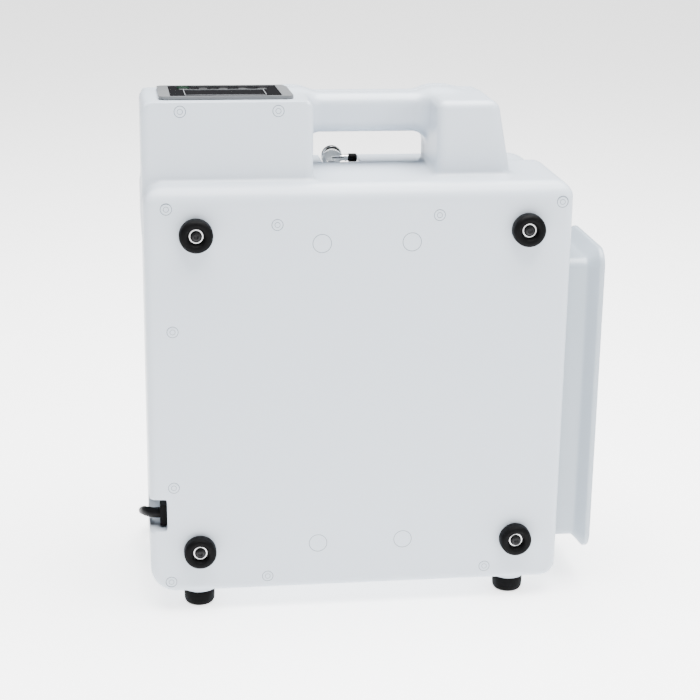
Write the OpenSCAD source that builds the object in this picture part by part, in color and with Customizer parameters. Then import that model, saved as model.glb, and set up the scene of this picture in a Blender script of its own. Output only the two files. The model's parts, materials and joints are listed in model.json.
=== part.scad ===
/* [Casing] */
// Width of the casing body, without the rim of the bottle bay
body_w = 300; // [290:5:360]
// Height of the casing body, without feet, tower and handle
body_h = 300; // [290:5:360]
// Depth of the casing body, rear face to front face
body_d = 132; // [130:1:160]
// Depth of the rear shell, rear face to parting line
rear_d = 82; // [78:1:88]
// Wall thickness of both shells
wall = 3; // [2.5:0.5:4]
// Corner radius of the casing, seen from the rear
corner_r = 16; // [12:1:24]
// How far the sides of the front shell step in at the parting line
shell_step = 1.5; // [0:0.5:2]

/* [Tower and handle] */
// Height of the display tower above the casing body
tower_h = 56; // [46:1:70]
// Width of the display tower
tower_w = 118; // [110:1:130]
// Depth of the display tower
tower_d = 86; // [82:1:92]
// Setback of the tower from the rear face
tower_back = 15; // [12:1:18]
// Corner radius of the tower, seen from the rear
tower_r = 10; // [6:1:12]
// Slope of the tower's top towards the user, degrees
panel_tilt = 2; // [0:0.5:4]
// Clear width of the handle gap
grip_gap = 88.5; // [80:0.5:110]
// Height of the handle bar
grip_h = 28; // [24:1:32]
// Depth of the handle bar
grip_d = 32; // [28:1:36]
// Drop of the handle bar below the tower's top
grip_drop = 4; // [2:1:8]
// Width of the stub tower at its top
stub_w = 43; // [38:1:50]
// Draft of the stub tower's outer side, over its height
stub_draft = 10; // [0:1:14]
// Depth of the stub tower
stub_d = 74; // [66:1:78]

/* [Feet and screws] */
// Diameter of a rear foot
rear_foot_dia = 23.5; // [20:0.5:28]
// Height of a rear foot
rear_foot_h = 9; // [6:1:12]
// Distance across between the rear feet
foot_span = 232; // [220:1:236]
// Distance up between the rear feet
foot_rise = 234; // [220:1:238]
// Diameter of a bottom foot
base_foot_dia = 22.5; // [20:0.5:26]
// Height of a bottom foot's rubber
base_foot_h = 12; // [8:1:16]
// Height of the moulded seat above a bottom foot
foot_seat = 3; // [2:1:5]
// Shank diameter of the casing screws
case_screw_dia = 4; // [3:0.5:5]

/* [Bottle bay] */
// How far the rim of the bay stands out of the casing's side
rim_out = 29; // [24:1:34]
// Diameter of the humidifier bottle
bottle_dia = 60; // [50:1:66]
// Height of the bottle's jar
jar_h = 130; // [108:1:156]
// Clearance beside the bottle
bay_side_gap = 5; // [3:0.5:8]
// Wall thickness of the bay
bay_wall = 2.5; // [2:0.5:3]
// Outer height of the bay
bay_h = 217; // [212:1:230]
// Height of the bay above the casing's lowest face
bay_up = 22; // [18:1:26]
// Width of the flared rim beyond the bay's walls
rim_flare = 8; // [5:1:9]

/* [Air system] */
// Bore of the compressor's cylinders
bore_dia = 32.1; // [26:0.1:33]
// Throw of the cranks
crank_throw = 4; // [3:0.5:4.5]
// Diameter of the compressor's motor
motor_dia = 84; // [70:1:86]
// Diameter of a sieve bed
bed_dia = 52; // [42:1:53]
// Length of a sieve bed between its end caps
bed_len = 160; // [130:5:165]
// Diameter of the oxygen tank
tank_dia = 36; // [28:1:38]
// Width and height of the cooling fan
fan_w = 80; // [60:1:88]

/* [Cord] */
// Diameter of the mains cord
cord_dia = 6.4; // [6:0.1:7]

/* [Hidden] */
$fn = 48;
fit = 0.3;
x0 = -(body_w + rim_out) / 2;
x1 = x0 + body_w;
y0 = -(body_d + rear_foot_h) / 2 + rear_foot_h;
y1 = y0 + body_d;
yp = y0 + rear_d;
z0 = base_foot_h + foot_seat;
z1 = z0 + body_h;
yi = y0 + wall;
yf = y1 - wall;

// tower, stub and handle
tower_x1 = x0 + tower_w;
tower_cx = x0 + tower_w / 2;
tower_y0 = y0 + tower_back;
tower_y1 = tower_y0 + tower_d;
top_z = z1 + tower_h;
stub_x0 = tower_x1 + grip_gap;
stub_x1 = stub_x0 + stub_w;
stub_y0 = yp - stub_d * 0.77;
grip_z1 = top_z - grip_drop;
root_h = 24;

// control panel, in the sloping frame of the tower's top
panel_w = 92.5;
panel_d = 66;
panel_y0 = tower_y0 + 10;
frame_h = 2.2;
window_w = 77;
window_d = 61;
skirt_h = 8;
board_z = -10.4;
board_t = 1.6;
key_x = [-28, -14, 0, 14, 28];
key_y = 51;
key_r = 4.5;
key_travel = 0.8;
panel_post_x = window_w / 2 - 3;
panel_post_y = panel_d / 2 - 8;
panel_posts = [for (x = [-1, 1], y = [-1, 1]) [x * panel_post_x, panel_d / 2 + y * panel_post_y]];

// case screws: across from the left side, up from the lowest face
case_marks = [[15.5, body_h - 15], [91.5, body_h - 27], [body_w - 95.5, body_h - 22],
              [body_w - 8.5, body_h - 14],
              [18.5, 198], [17.5, 82], [14.5, 9], [84.5, 10.5], [body_w - 54.5, 11]];
tower_marks = [[26.5, top_z - 7], [93.5, top_z - 7]];
boss_r = 6;
well_r = 3.8;
cap_h = 2.5;
seat_h = 12;
bite_h = 14;

// feet, at the corners of one square on the rear and under the body
foot_x = [x0 + 35.5, x0 + 35.5 + foot_span];
foot_z = [z0 + 33, z0 + 33 + foot_rise];
base_foot_y = [y0 + 18, y1 - 18];
stub_boss_r = 5;
stub_boss_h = 7.5;

// bottle bay and bottle
bay_x1 = x1 + rim_out;
bay_inner_w = bottle_dia + 2 * bay_side_gap;
bay_cy = y0 + 21 + bay_wall + bay_inner_w / 2;
bay_y0 = bay_cy - bay_inner_w / 2 - bay_wall;
bay_y1 = bay_cy + bay_inner_w / 2 + bay_wall;
bay_z0 = z0 + bay_up;
bay_z1 = bay_z0 + bay_h;
bottle_back = 6;
bottle_front = 14.5;
bay_x0 = bay_x1 - bottle_front - bottle_dia - bottle_back - bay_wall;
rim_t = 5.5;
bottle_x = bay_x0 + bay_wall + bottle_back + bottle_dia / 2;
bottle_z = bay_z0 + bay_wall;
jar_t = 2;
neck_h = 12;
neck_drop = 3;
seal_t = 2;

// chassis
plate_y = yi + 8;
plate_t = 1.5;
plate_x0 = x0 + 27.5;
plate_x1 = bay_x0;
shelf_z = z0 + 21;
deck_z = shelf_z + plate_t;
plate_z1 = shelf_z + 242;
front_y = plate_y + plate_t;
chassis_marks = [[plate_x0 + 10, shelf_z + 24], [plate_x1 - 21.5, shelf_z + 24],
                 [plate_x0 + 10, shelf_z + 226], [plate_x1 - 21.5, shelf_z + 226]];

// compressor
mount_h = 12;
mount_x = 60;
mount_y = 26;
motor_x = plate_x0 + 87;
motor_y = front_y + 43;
motor_len = 64;
base_t = 4;
motor_z = deck_z + mount_h + base_t + motor_dia / 2 + 2.5;
rotor_r = 22;
air_gap = 0.3;
shaft_r = 6;
bearing_r = 11;
case_r = 35;
case_wall = 4;
case_len = 36;
rod_at = 20;
pin_r = 3;
ring_gap = 0.6;
ring_r = pin_r + 2 * crank_throw + ring_gap;
ring_t = 3.4;
bore_r = bore_dia / 2;
jug_z = 33;
jug_h = 28;
head_h = 12;
piston_t = 6;
piston_z = jug_z + jug_h / 2 - piston_t / 2;

// sieve beds, tank and valves
bed_z = motor_z + jug_z + jug_h + head_h + 8 + bed_dia / 2;
bed_y = [front_y + 3 + bed_dia / 2, front_y + 7 + 1.5 * bed_dia];
bed_x0 = plate_x0 + 19;
cap_len = 10;
tank_y = front_y + 3 + tank_dia / 2;
tank_z = bed_z + bed_dia / 2 + 8 + tank_dia / 2;
tank_len = 140;
valve_z = bed_z + bed_dia / 2 + 6;
valve_y = tank_y + tank_dia / 2 + 20;
block_w = 86;
block_x0 = plate_x0 + 30;
coil_r = 9;
coil_h = 22;
plunger_travel = 2;

// fan, grille and intake filter, on the front shell
fan_x = plate_x0 + 68;
fan_z = deck_z + 55;
fan_t = 25;
fan_bore = fan_w / 2 - 2;
fan_hole = fan_w / 2 - 4.25;
grille_w = fan_w + 12;
grille_t = 1.5;
filter_x = fan_x + grille_w / 2 + 10 + 32;
filter_w = 64;
filter_h = 92;
foam_t = 10;

// oxygen outlet and its recess in the front shell's top edge
spout_x = tower_x1 + 23.5;
spout_y = y1 - 25.5;
spout_z = z1;
niche_x0 = spout_x - 8;
niche_x1 = niche_x0 + 28;
niche_y0 = y1 - 41.5;
niche_z0 = z1 - 30;
niche_wall = 2.5;
flange_r = 7.8;

// cord inlet, cut into the rear left edge
notch_w = 12.5;
notch_d = 36;
notch_z0 = z0 + 49;
notch_z1 = z0 + 73;
gland_z = z0 + 58.5;
gland_y = y0 + 13;
gland_out = 5;
gland_x = x0 + notch_w - gland_out;

// the hoses, and the ports that they join
bend_r = 13;
hose_r = 3.4;
intake_r = 4;
head_top = motor_z + jug_z + jug_h + head_h / 2;
join_x = motor_len / 2 + rod_at - bore_r - 8;
hose_x = motor_x + motor_len / 2 + rod_at + bore_r + 8 + bend_r;
tank_port_x = bed_x0 + tank_len + 8;
spout_stem = 12;

// the cord: out of the gland, along the side to the floor, round to its coil
cord_points = [[-157, -48.5, 73.5], [-159.5, -48.5, 73.5], [-163.2, -46.6, 73.1],
               [-166.2, -42.4, 72.2], [-167.7, -37, 70.6], [-168.2, -31, 68.4], [-168.4, -23, 65.1],
               [-168.4, -13, 60.9], [-168.4, -2, 56.4], [-168.4, 9, 51.8], [-168.4, 20, 47.3],
               [-168.4, 32, 42.3], [-168.4, 44, 37.3], [-168.4, 56, 32.3], [-168.3, 68, 27.4],
               [-167.2, 80, 22.4], [-163, 92, 17.2], [-156, 104, 12.6], [-146, 114, 9],
               [-133, 121, 6.3], [-118, 124.6, 4.6], [-102, 125.8, 3.7], [-87, 126, 3.3],
               [-72.5, 126, 3.3]];
coil_c = [-50, 161];
coil_mid_r = 35;
coil_cols = 2;
coil_rows = 3;
plug_w = 26;
plug_len = 32;
plug_neck = 14;
plug_c = [coil_c[0] + coil_mid_r, coil_c[1] + 23.5];

// ---- helpers -------------------------------------------------------------

// Extrudes an outline drawn in X and Z from y = a to y = b.
module along_y(a, b) translate([0, b, 0]) rotate([90, 0, 0]) linear_extrude(b - a) children();

// Extrudes an outline drawn in Y and Z from x = a to x = b.
module along_x(a, b) translate([a, 0, 0]) rotate([90, 0, 90]) linear_extrude(b - a) children();

// A rectangle from a to b with round corners.
module rounded(a, b, r) {
    translate([a[0] + r, a[1]]) square([b[0] - a[0] - 2 * r, b[1] - a[1]]);
    translate([a[0], a[1] + r]) square([b[0] - a[0], b[1] - a[1] - 2 * r]);
    for (x = [a[0] + r, b[0] - r], y = [a[1] + r, b[1] - r]) translate([x, y]) circle(r);
}

// A cuboid from corner a to corner b.
module block(a, b) translate(a) cube(b - a);

// A cylinder along Y from y = a to y = b, at x, z.
module rod_y(x, z, a, b, r) translate([x, b, z]) rotate([90, 0, 0]) cylinder(r = r, h = b - a);

// A cylinder along X from x = a to x = b, at y, z.
module rod_x(y, z, a, b, r) translate([a, y, z]) rotate([0, 90, 0]) cylinder(r = r, h = b - a);

// A pan-head screw that points along -Z from its head's underside at the origin.
module screw(r, len, head_r, head_h) {
    translate([0, 0, -len]) cylinder(r = r, h = len);
    difference() {
        cylinder(r = head_r, h = head_h);
        for (a = [0, 90]) rotate([0, 0, a])
            block([-head_r * 0.6, -0.5, head_h * 0.4], [head_r * 0.6, 0.5, head_h + 1]);
    }
}

// Places children in the sloping frame of the tower's top, at the panel's rear edge.
module on_panel()
    translate([tower_cx, panel_y0, top_z - (panel_y0 - tower_y0) * tan(panel_tilt)])
        rotate([-panel_tilt, 0, 0]) children();

// Rings of a tube of radius r along a list of points, each ring of n points.
function ahead(p, i) = p[min(i + 1, len(p) - 1)] - p[max(i - 1, 0)];
function unit(v) = v / norm(v);
function side(t) = unit(cross(t, abs(t[2]) > 0.9 ? [0, 1, 0] : [0, 0, 1]));
function ring(p, i, r, n) =
    let (t = unit(ahead(p, i)), s = side(t), u = cross(s, t))
    [for (k = [0:n - 1]) p[i] + r * (cos(360 * k / n) * s + sin(360 * k / n) * u)];
function middle(p, i) = (-p[max(i - 1, 0)] + 9 * p[i] + 9 * p[i + 1] - p[min(i + 2, len(p) - 1)]) / 16;
function finer(p) = [for (i = [0:len(p) - 2]) each [p[i], middle(p, i)], p[len(p) - 1]];

// A tube of radius r swept along points.
module tube_along(p, r, n = 8) {
    rings = [for (i = [0:len(p) - 1]) each ring(p, i, r, n)];
    last = len(p) - 1;
    walls = [for (i = [0:last - 1], k = [0:n - 1])
        [i * n + k, i * n + (k + 1) % n, (i + 1) * n + (k + 1) % n, (i + 1) * n + k]];
    start = [[for (k = [0:n - 1]) n - 1 - k]];
    end = [[for (k = [0:n - 1]) last * n + k]];
    polyhedron(rings, concat(walls, start, end), convexity = 6);
}

// ---- casing --------------------------------------------------------------

// The tower, as a solid that stands g inside the casing's outside.
module tower_solid(g) intersection() {
    along_y(tower_y0 + g, tower_y1 - g)
        rounded([x0 + g, z1 - root_h], [tower_x1 - g, top_z - g], tower_r - g);
    along_x(x0, tower_x1)
        polygon([[tower_y0, z1 - root_h], [tower_y1, z1 - root_h],
                 [tower_y1, top_z - g - tower_d * tan(panel_tilt)], [tower_y0, top_z - g]]);
}

// The stub tower at the other end of the handle, with a drafted outer side.
module stub_solid(g) along_y(stub_y0 + g, stub_y0 + stub_d - g)
    polygon([[stub_x0 + g, z1 - root_h], [stub_x1 + stub_draft - g, z1 - root_h],
             [stub_x1 + stub_draft - g, z1], [stub_x1 - g, top_z - 9],
             [stub_x1 - 8 - g / 2, top_z - grip_drop / 2 - g],
             [stub_x0 + 8 + g / 2, top_z - grip_drop / 2 - g], [stub_x0 + g, top_z - 9]]);

// The handle bar, centred on the parting line.
module grip_solid(g) along_x(tower_x1 - 8, stub_x0 + 8)
    rounded([yp - grip_d / 2 + g, grip_z1 - grip_h + g], [yp + grip_d / 2 - g, grip_z1 - g], 12 - g);

// The whole casing as a solid, its sides g inside and its ends e inside.
module case_solid(g, e) {
    along_y(y0 + e, y1 - e) rounded([x0 + g, z0 + g], [x1 - g, z1 - g], corner_r - g);
    tower_solid(g);
    stub_solid(g);
    grip_solid(g);
}

// The opening for the bay in the casing's side.
module bay_cut() along_x(x1 - 12, x1 + 1)
    rounded([bay_y0 - fit, bay_z0 - fit], [bay_y1 + fit, bay_z1 + fit], 8 + fit);

// The opening for the control panel in the tower's top.
module panel_cut() on_panel() block([-panel_w / 2 + 4, 3, -wall - 4], [panel_w / 2 - 4, panel_d - 3, 2]);

module rear_shell() color("white") difference() {
    union() {
        difference() {
            intersection() {
                case_solid(0, 0);
                block([x0 - 1, y0 - 1, 0], [x1 + 1, yp, top_z + 1]);
            }
            difference() {
                case_solid(wall, wall);
                for (m = case_marks) rod_y(x0 + m[0], z0 + m[1], yi - 1, yp, boss_r);
                for (m = chassis_marks) rod_y(m[0], m[1], yi - 1, plate_y, stub_boss_r);
                for (x = foot_x, z = foot_z) rod_y(x, z, yi - 1, yi + stub_boss_h, stub_boss_r);
                for (x = foot_x) translate([x, base_foot_y[0], z0]) cylinder(r = stub_boss_r, h = wall + 10);
                block([x0, y0, notch_z0 - wall], [x0 + notch_w + wall, y0 + notch_d + wall, notch_z1 + wall]);
            }
        }
        for (x = foot_x) translate([x, base_foot_y[0], base_foot_h])
            cylinder(r = base_foot_dia / 2 + 1.5, h = foot_seat + 1);
    }
    for (m = case_marks) {
        rod_y(x0 + m[0], z0 + m[1], y0 - 1, yp - seat_h, well_r);
        rod_y(x0 + m[0], z0 + m[1], y0, yp + 1, case_screw_dia / 2 + 0.2);
    }
    for (m = tower_marks) {
        rod_y(x0 + m[0], m[1], tower_y0 - 1, tower_y0 + 1.2, well_r);
        rod_y(x0 + m[0], m[1], tower_y0, tower_y0 + wall + 1, 1.7);
    }
    for (m = chassis_marks) rod_y(m[0], m[1], yi + 0.5, plate_y + 1, 2.05);
    for (x = foot_x, z = foot_z) rod_y(x, z, y0 - 1, yi + stub_boss_h + 1, 2.05);
    for (x = foot_x) translate([x, base_foot_y[0], 0]) cylinder(r = 2.05, h = z0 + wall + 11);
    block([x0 - 1, y0 - 1, notch_z0], [x0 + notch_w, y0 + notch_d, notch_z1]);
    rod_x(gland_y, gland_z, x0 + notch_w - 1, x0 + notch_w + wall + 1, 5);
    bay_cut();
    panel_cut();
}

module front_shell() color("white") difference() {
    union() {
        difference() {
            intersection() {
                case_solid(shell_step, 0);
                block([x0 - 1, yp, 0], [x1 + 1, y1 + 1, top_z + 1]);
            }
            difference() {
                case_solid(wall + shell_step, wall);
                for (m = case_marks) rod_y(x0 + m[0], z0 + m[1], yp, yf + 1, boss_r - 1);
                translate([foot_x[0], base_foot_y[1], z0]) cylinder(r = stub_boss_r, h = wall + 10);
                translate([foot_x[1], base_foot_y[1], z0]) cylinder(r = stub_boss_r, h = wall + 10);
                block([niche_x0 - niche_wall, niche_y0 - niche_wall, niche_z0 - niche_wall],
                      [niche_x1 + niche_wall, y1, z1]);
            }
        }
        for (x = foot_x) translate([x, base_foot_y[1], base_foot_h])
            cylinder(r = base_foot_dia / 2 + 1.5, h = foot_seat + shell_step + 1);
    }
    for (m = case_marks) rod_y(x0 + m[0], z0 + m[1], yp - 1, yp + bite_h + 2, case_screw_dia / 2 + 0.05);
    for (x = foot_x) translate([x, base_foot_y[1], 0]) cylinder(r = 2.05, h = z0 + wall + 11);
    block([niche_x0, niche_y0, niche_z0], [niche_x1, y1 + 1, z1 + 1]);
    translate([spout_x, spout_y, niche_z0 - niche_wall - 1]) cylinder(r = 4.6, h = niche_wall + 2);
    rod_y(fan_x, fan_z, yf - 1, y1 + 1, fan_bore);
    block([fan_x - grille_w / 2, y1 - grille_t, fan_z - grille_w / 2],
          [fan_x + grille_w / 2, y1 + 1, fan_z + grille_w / 2]);
    for (x = [-1, 1], z = [-1, 1])
        rod_y(fan_x + x * fan_hole, fan_z + z * fan_hole, yf - 1, y1 + 1, 2.05);
    block([filter_x - filter_w / 2, y1 - grille_t, fan_z - filter_h / 2],
          [filter_x + filter_w / 2, y1 + 1, fan_z + filter_h / 2]);
    block([filter_x - filter_w / 2 + 6, yf - 1, fan_z - filter_h / 2 + 6],
          [filter_x + filter_w / 2 - 6, y1 + 1, fan_z + filter_h / 2 - 6]);
    bay_cut();
    panel_cut();
}

module case_screws() color("silver") {
    for (m = case_marks) translate([x0 + m[0], yp - seat_h, z0 + m[1]]) rotate([90, 0, 0])
        screw(case_screw_dia / 2, seat_h + bite_h, 3.5, 2.6);
    for (m = tower_marks) translate([x0 + m[0], tower_y0 + 1.2, m[1]]) rotate([90, 0, 0])
        screw(1.5, wall + 5, 2.8, 0.9);
}

module screw_caps() color("whitesmoke") for (m = case_marks)
    rod_y(x0 + m[0], z0 + m[1], y0, y0 + cap_h, well_r - 0.05);

// ---- control panel -------------------------------------------------------

module panel_frame() color("darkgray") {
    on_panel() difference() {
        union() {
            linear_extrude(frame_h) rounded([-panel_w / 2, 0], [panel_w / 2, panel_d], 5);
            block([-panel_w / 2 + 4 + fit, 3 + fit, -skirt_h], [panel_w / 2 - 4 - fit, panel_d - 3 - fit, 0]);
        }
        block([-window_w / 2, (panel_d - window_d) / 2, frame_h - 1.6],
              [window_w / 2, (panel_d + window_d) / 2, frame_h + 1]);
        difference() {
            block([-window_w / 2 + 1.5, 5, -skirt_h - 1], [window_w / 2 - 1.5, panel_d - 5, frame_h]);
            for (p = panel_posts) translate([p[0], p[1], -skirt_h - 1])
                cylinder(r = 4, h = skirt_h + 1 + frame_h - 1.6);
        }
        for (p = panel_posts) translate([p[0], p[1], -skirt_h - 1])
            cylinder(r = 1.25, h = 7);
    }
}

module panel_window() color("black") on_panel() difference() {
    translate([0, 0, frame_h - 1.6]) linear_extrude(1.4)
        rounded([-window_w / 2 + 0.1, (panel_d - window_d) / 2 + 0.1],
                [window_w / 2 - 0.1, (panel_d + window_d) / 2 - 0.1], 1);
    for (x = key_x) translate([x, key_y, 0]) cylinder(r = key_r + 0.2, h = 4);
}

module lcd_module() color("dimgray") on_panel()
    block([-26, 9, board_z], [26, 39, frame_h - 1.6]);

module panel_board() color("darkgreen") on_panel() difference() {
    block([-window_w / 2 - 1, 4, board_z - board_t], [window_w / 2 + 1, panel_d - 4, board_z]);
    for (p = panel_posts) translate([p[0], p[1], board_z - board_t - 1])
        cylinder(r = 1.6, h = 4);
}

module key_switches() color("dimgray") on_panel() for (x = key_x) translate([x, key_y, 0]) {
    block([-3, -3, board_z], [3, 3, board_z + 3.5]);
    translate([0, 0, board_z + 3.5]) cylinder(r = 1.6, h = 0.5);
}

module buzzer() color("black") on_panel() translate([0, 24, board_z - board_t - 8]) difference() {
    cylinder(r = 6, h = 8);
    translate([0, 0, -1]) cylinder(r = 1.2, h = 3);
}

// Screws hold the board to the frame, with spacers between them.
module panel_screws() color("silver") on_panel()
    for (p = panel_posts) translate([p[0], p[1], board_z - board_t]) {
        mirror([0, 0, 1]) screw(1.2, board_t + 6, 2.6, 1.8);
        translate([0, 0, board_t]) difference() {
            cylinder(r = 3, h = -skirt_h - board_z);
            translate([0, 0, -1]) cylinder(r = 1.4, h = 6);
        }
    }

// A push key: round cap, a collar under the window, and a stem above its switch.
module push_key(x) on_panel() translate([x, key_y, 0]) rotate_extrude()
    polygon([[0, board_z + 4 + key_travel + 0.1], [1.5, board_z + 4 + key_travel + 0.1], [1.5, -0.8],
             [key_r + 1.2, -0.8], [key_r + 1.2, frame_h - 1.6], [key_r, frame_h - 1.6],
             [key_r, frame_h + 0.1],
             [key_r - 0.5, frame_h + 0.5], [0, frame_h + 0.3]]);

module power_key() color("seagreen") push_key(key_x[0]);
module flow_up_key() color("gray") push_key(key_x[1]);
module flow_down_key() color("gray") push_key(key_x[2]);
module timer_key() color("gray") push_key(key_x[3]);
module mute_key() color("gray") push_key(key_x[4]);

// ---- feet ----------------------------------------------------------------

// Half section of a rubber foot that stands h tall, with a countersunk screw hole.
module foot_body(dia, h, hole) rotate_extrude()
    polygon([[hole, 0], [dia / 2, 0], [dia / 2, h * 0.35], [dia / 2 - 1, h * 0.72], [dia / 2 - 2.2, h * 0.9],
             [dia / 2 - 4, h], [5.6, h], [5.2, h * 0.45], [hole, h * 0.45]]);

module rear_feet() color("black") for (x = foot_x, z = foot_z)
    translate([x, y0, z]) rotate([90, 0, 0]) foot_body(rear_foot_dia, rear_foot_h, 2.3);

module foot_washers() color("silver") for (x = foot_x, z = foot_z)
    translate([x, y0 - rear_foot_h * 0.45, z]) rotate([90, 0, 0]) difference() {
        cylinder(r = 5, h = 0.8);
        translate([0, 0, -1]) cylinder(r = 2.1, h = 3);
    }

module foot_screws() color("dimgray") for (x = foot_x, z = foot_z)
    translate([x, y0 - rear_foot_h * 0.45 - 0.8, z]) rotate([90, 0, 0]) screw(2, 13, 3.6, 2.2);

module base_feet() color("black") for (x = foot_x, y = base_foot_y)
    translate([x, y, base_foot_h]) rotate([180, 0, 0]) foot_body(base_foot_dia, base_foot_h, 2.3);

module base_foot_screws() color("silver") for (x = foot_x, y = base_foot_y)
    translate([x, y, base_foot_h * 0.55]) rotate([180, 0, 0]) screw(2, 18, 3.6, 2.4);

// ---- bottle bay ----------------------------------------------------------

module bottle_bay() color("aliceblue") difference() {
    union() {
        along_x(bay_x0, bay_x1 - rim_t) rounded([bay_y0, bay_z0], [bay_y1, bay_z1], 8);
        along_x(bay_x1 - rim_t, bay_x1)
            rounded([bay_y0 - rim_flare, bay_z0 - rim_flare], [bay_y1 + rim_flare, bay_z1 + rim_flare], 14);
        for (x = [bay_x0 + 8, x1 - wall - 7], y = [bay_cy - 28, bay_cy + 28])
            translate([x, y, bay_z1 - 1]) cylinder(r = 3, h = 7);
    }
    along_x(bay_x0 + bay_wall, bay_x1 + 1)
        rounded([bay_y0 + bay_wall, bay_z0 + bay_wall], [bay_y1 - bay_wall, bay_z1 - bay_wall], 8 - bay_wall);
    for (z = bay_screw_z) rod_x(bay_screw_y, z, bay_x0 - 1, bay_x0 + bay_wall + 1, 1.7);
}
bay_screw_y = front_y + 15;
bay_screw_z = [bay_z0 + 28, bay_z0 + bay_h / 2, bay_z1 - 32];

module bay_screws() color("silver") for (z = bay_screw_z)
    translate([bay_x0 + bay_wall, bay_screw_y, z]) rotate([0, 90, 0]) screw(1.5, 8, 2.9, 2);

// A saddle on the bay's back wall that the bottle leans into.
module bottle_cradle() color("gainsboro") for (z = [bottle_z + 24, bottle_z + jar_h - 40])
    translate([0, 0, z]) linear_extrude(10) difference() {
        translate([bay_x0 + bay_wall, bay_cy - 24]) square([bottle_back + 10, 48]);
        translate([bottle_x, bay_cy]) circle(bottle_dia / 2 + fit);
        translate([bay_x0, bay_screw_y - 4]) square([7, 8]);
    }

module bottle_jar() color("lightcyan") translate([bottle_x, bay_cy, bottle_z]) rotate_extrude()
    polygon([[0, 0], [bottle_dia / 2 - 2, 0], [bottle_dia / 2, 2], [bottle_dia / 2, jar_h - neck_h - 3],
             [bottle_dia / 2 - neck_drop, jar_h - neck_h], [bottle_dia / 2 - neck_drop, jar_h],
             [bottle_dia / 2 - neck_drop - jar_t, jar_h],
             [bottle_dia / 2 - neck_drop - jar_t, jar_h - neck_h - 1],
             [bottle_dia / 2 - jar_t, jar_h - neck_h - 5], [bottle_dia / 2 - jar_t, jar_t + 3],
             [bottle_dia / 2 - jar_t - 3, jar_t], [0, jar_t]]);

module bottle_seal() color("orangered") translate([bottle_x, bay_cy, bottle_z + jar_h]) difference() {
    cylinder(r = bottle_dia / 2 - neck_drop, h = seal_t);
    translate([0, 0, -1]) cylinder(r = bottle_dia / 2 - neck_drop - jar_t - 1, h = seal_t + 2);
}

module bottle_lid() color("royalblue") translate([bottle_x, bay_cy, bottle_z + jar_h]) {
    difference() {
        union() {
            translate([0, 0, -neck_h + 0.5]) cylinder(r = bottle_dia / 2 + 1, h = neck_h + 5.5);
            for (a = [0:15:345]) rotate([0, 0, a]) translate([bottle_dia / 2 + 0.9, 0, -neck_h + 2])
                cylinder(r = 0.9, h = neck_h + 1, $fn = 16);
            translate([0, 0, 5]) cylinder(r = 4, h = 18);
            translate([17, 0, 5]) cylinder(r = 4, h = 18);
        }
        translate([0, 0, -neck_h]) cylinder(r = bottle_dia / 2 - neck_drop + fit, h = neck_h + seal_t);
        translate([0, 0, -1]) cylinder(r = 2, h = 30);
        translate([17, 0, -1]) cylinder(r = 2, h = 30);
    }
}

// The bubbler's tube with the porous tip at its lower end.
module bubbler_stem() color("lightgray") translate([bottle_x, bay_cy, bottle_z]) difference() {
    union() {
        translate([0, 0, 18]) cylinder(r = 3, h = jar_h + seal_t - 18);
        translate([0, 0, 8]) cylinder(r = 6.5, h = 14);
    }
    translate([0, 0, 12]) cylinder(r = 2, h = jar_h);
}

// ---- oxygen outlet -------------------------------------------------------

// A flanged side outlet on a stem that passes through the recess's floor.
module outlet_fitting() color("silver") translate([spout_x, spout_y, 0]) difference() {
    union() {
        translate([0, 0, niche_z0 - spout_stem]) cylinder(r = 4.5, h = spout_z - niche_z0 + spout_stem);
        translate([0, 0, niche_z0]) cylinder(r = 8, h = 3, $fn = 6);
        translate([0, 2, spout_z]) rotate([90, 0, 0]) rotate_extrude()
            polygon([[0, 0], [flange_r - 0.6, 0], [flange_r, 0.6], [flange_r, 3.4],
                     [flange_r - 0.6, 4], [0, 4]]);
        for (x = [6.5, 9.5]) rod_x(0, spout_z - 1.5, x, x + 2.4, 2.9);
        rod_x(0, spout_z - 1.5, 0, 12.5, 2.2);
    }
    translate([0, 0, niche_z0 - spout_stem - 1]) cylinder(r = 1.5, h = spout_z - niche_z0 + spout_stem - 1);
}

module outlet_cap() color("black") difference() {
    rod_x(spout_y, spout_z - 1.5, spout_x + 12.5, spout_x + 19, 3.2);
    rod_x(spout_y, spout_z - 1.5, spout_x + 12, spout_x + 17, 1.2);
}

module outlet_nut() color("goldenrod") translate([spout_x, spout_y, niche_z0 - niche_wall - 5]) difference() {
    cylinder(r = 8, h = 5, $fn = 6);
    translate([0, 0, -1]) cylinder(r = 4.55, h = 7);
}

// ---- fan and intake, on the front shell ----------------------------------

module exhaust_grille() color("whitesmoke") translate([fan_x, 0, fan_z]) difference() {
    along_y(y1 - grille_t, y1)
        rounded([-grille_w / 2 + 0.2, -grille_w / 2 + 0.2], [grille_w / 2 - 0.2, grille_w / 2 - 0.2], 3);
    for (z = [-4:4]) block([-grille_w / 2 + 8, y1 - grille_t - 1, z * 8 - 2],
                           [grille_w / 2 - 8, y1 + 1, z * 8 + 2]);
}

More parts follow.
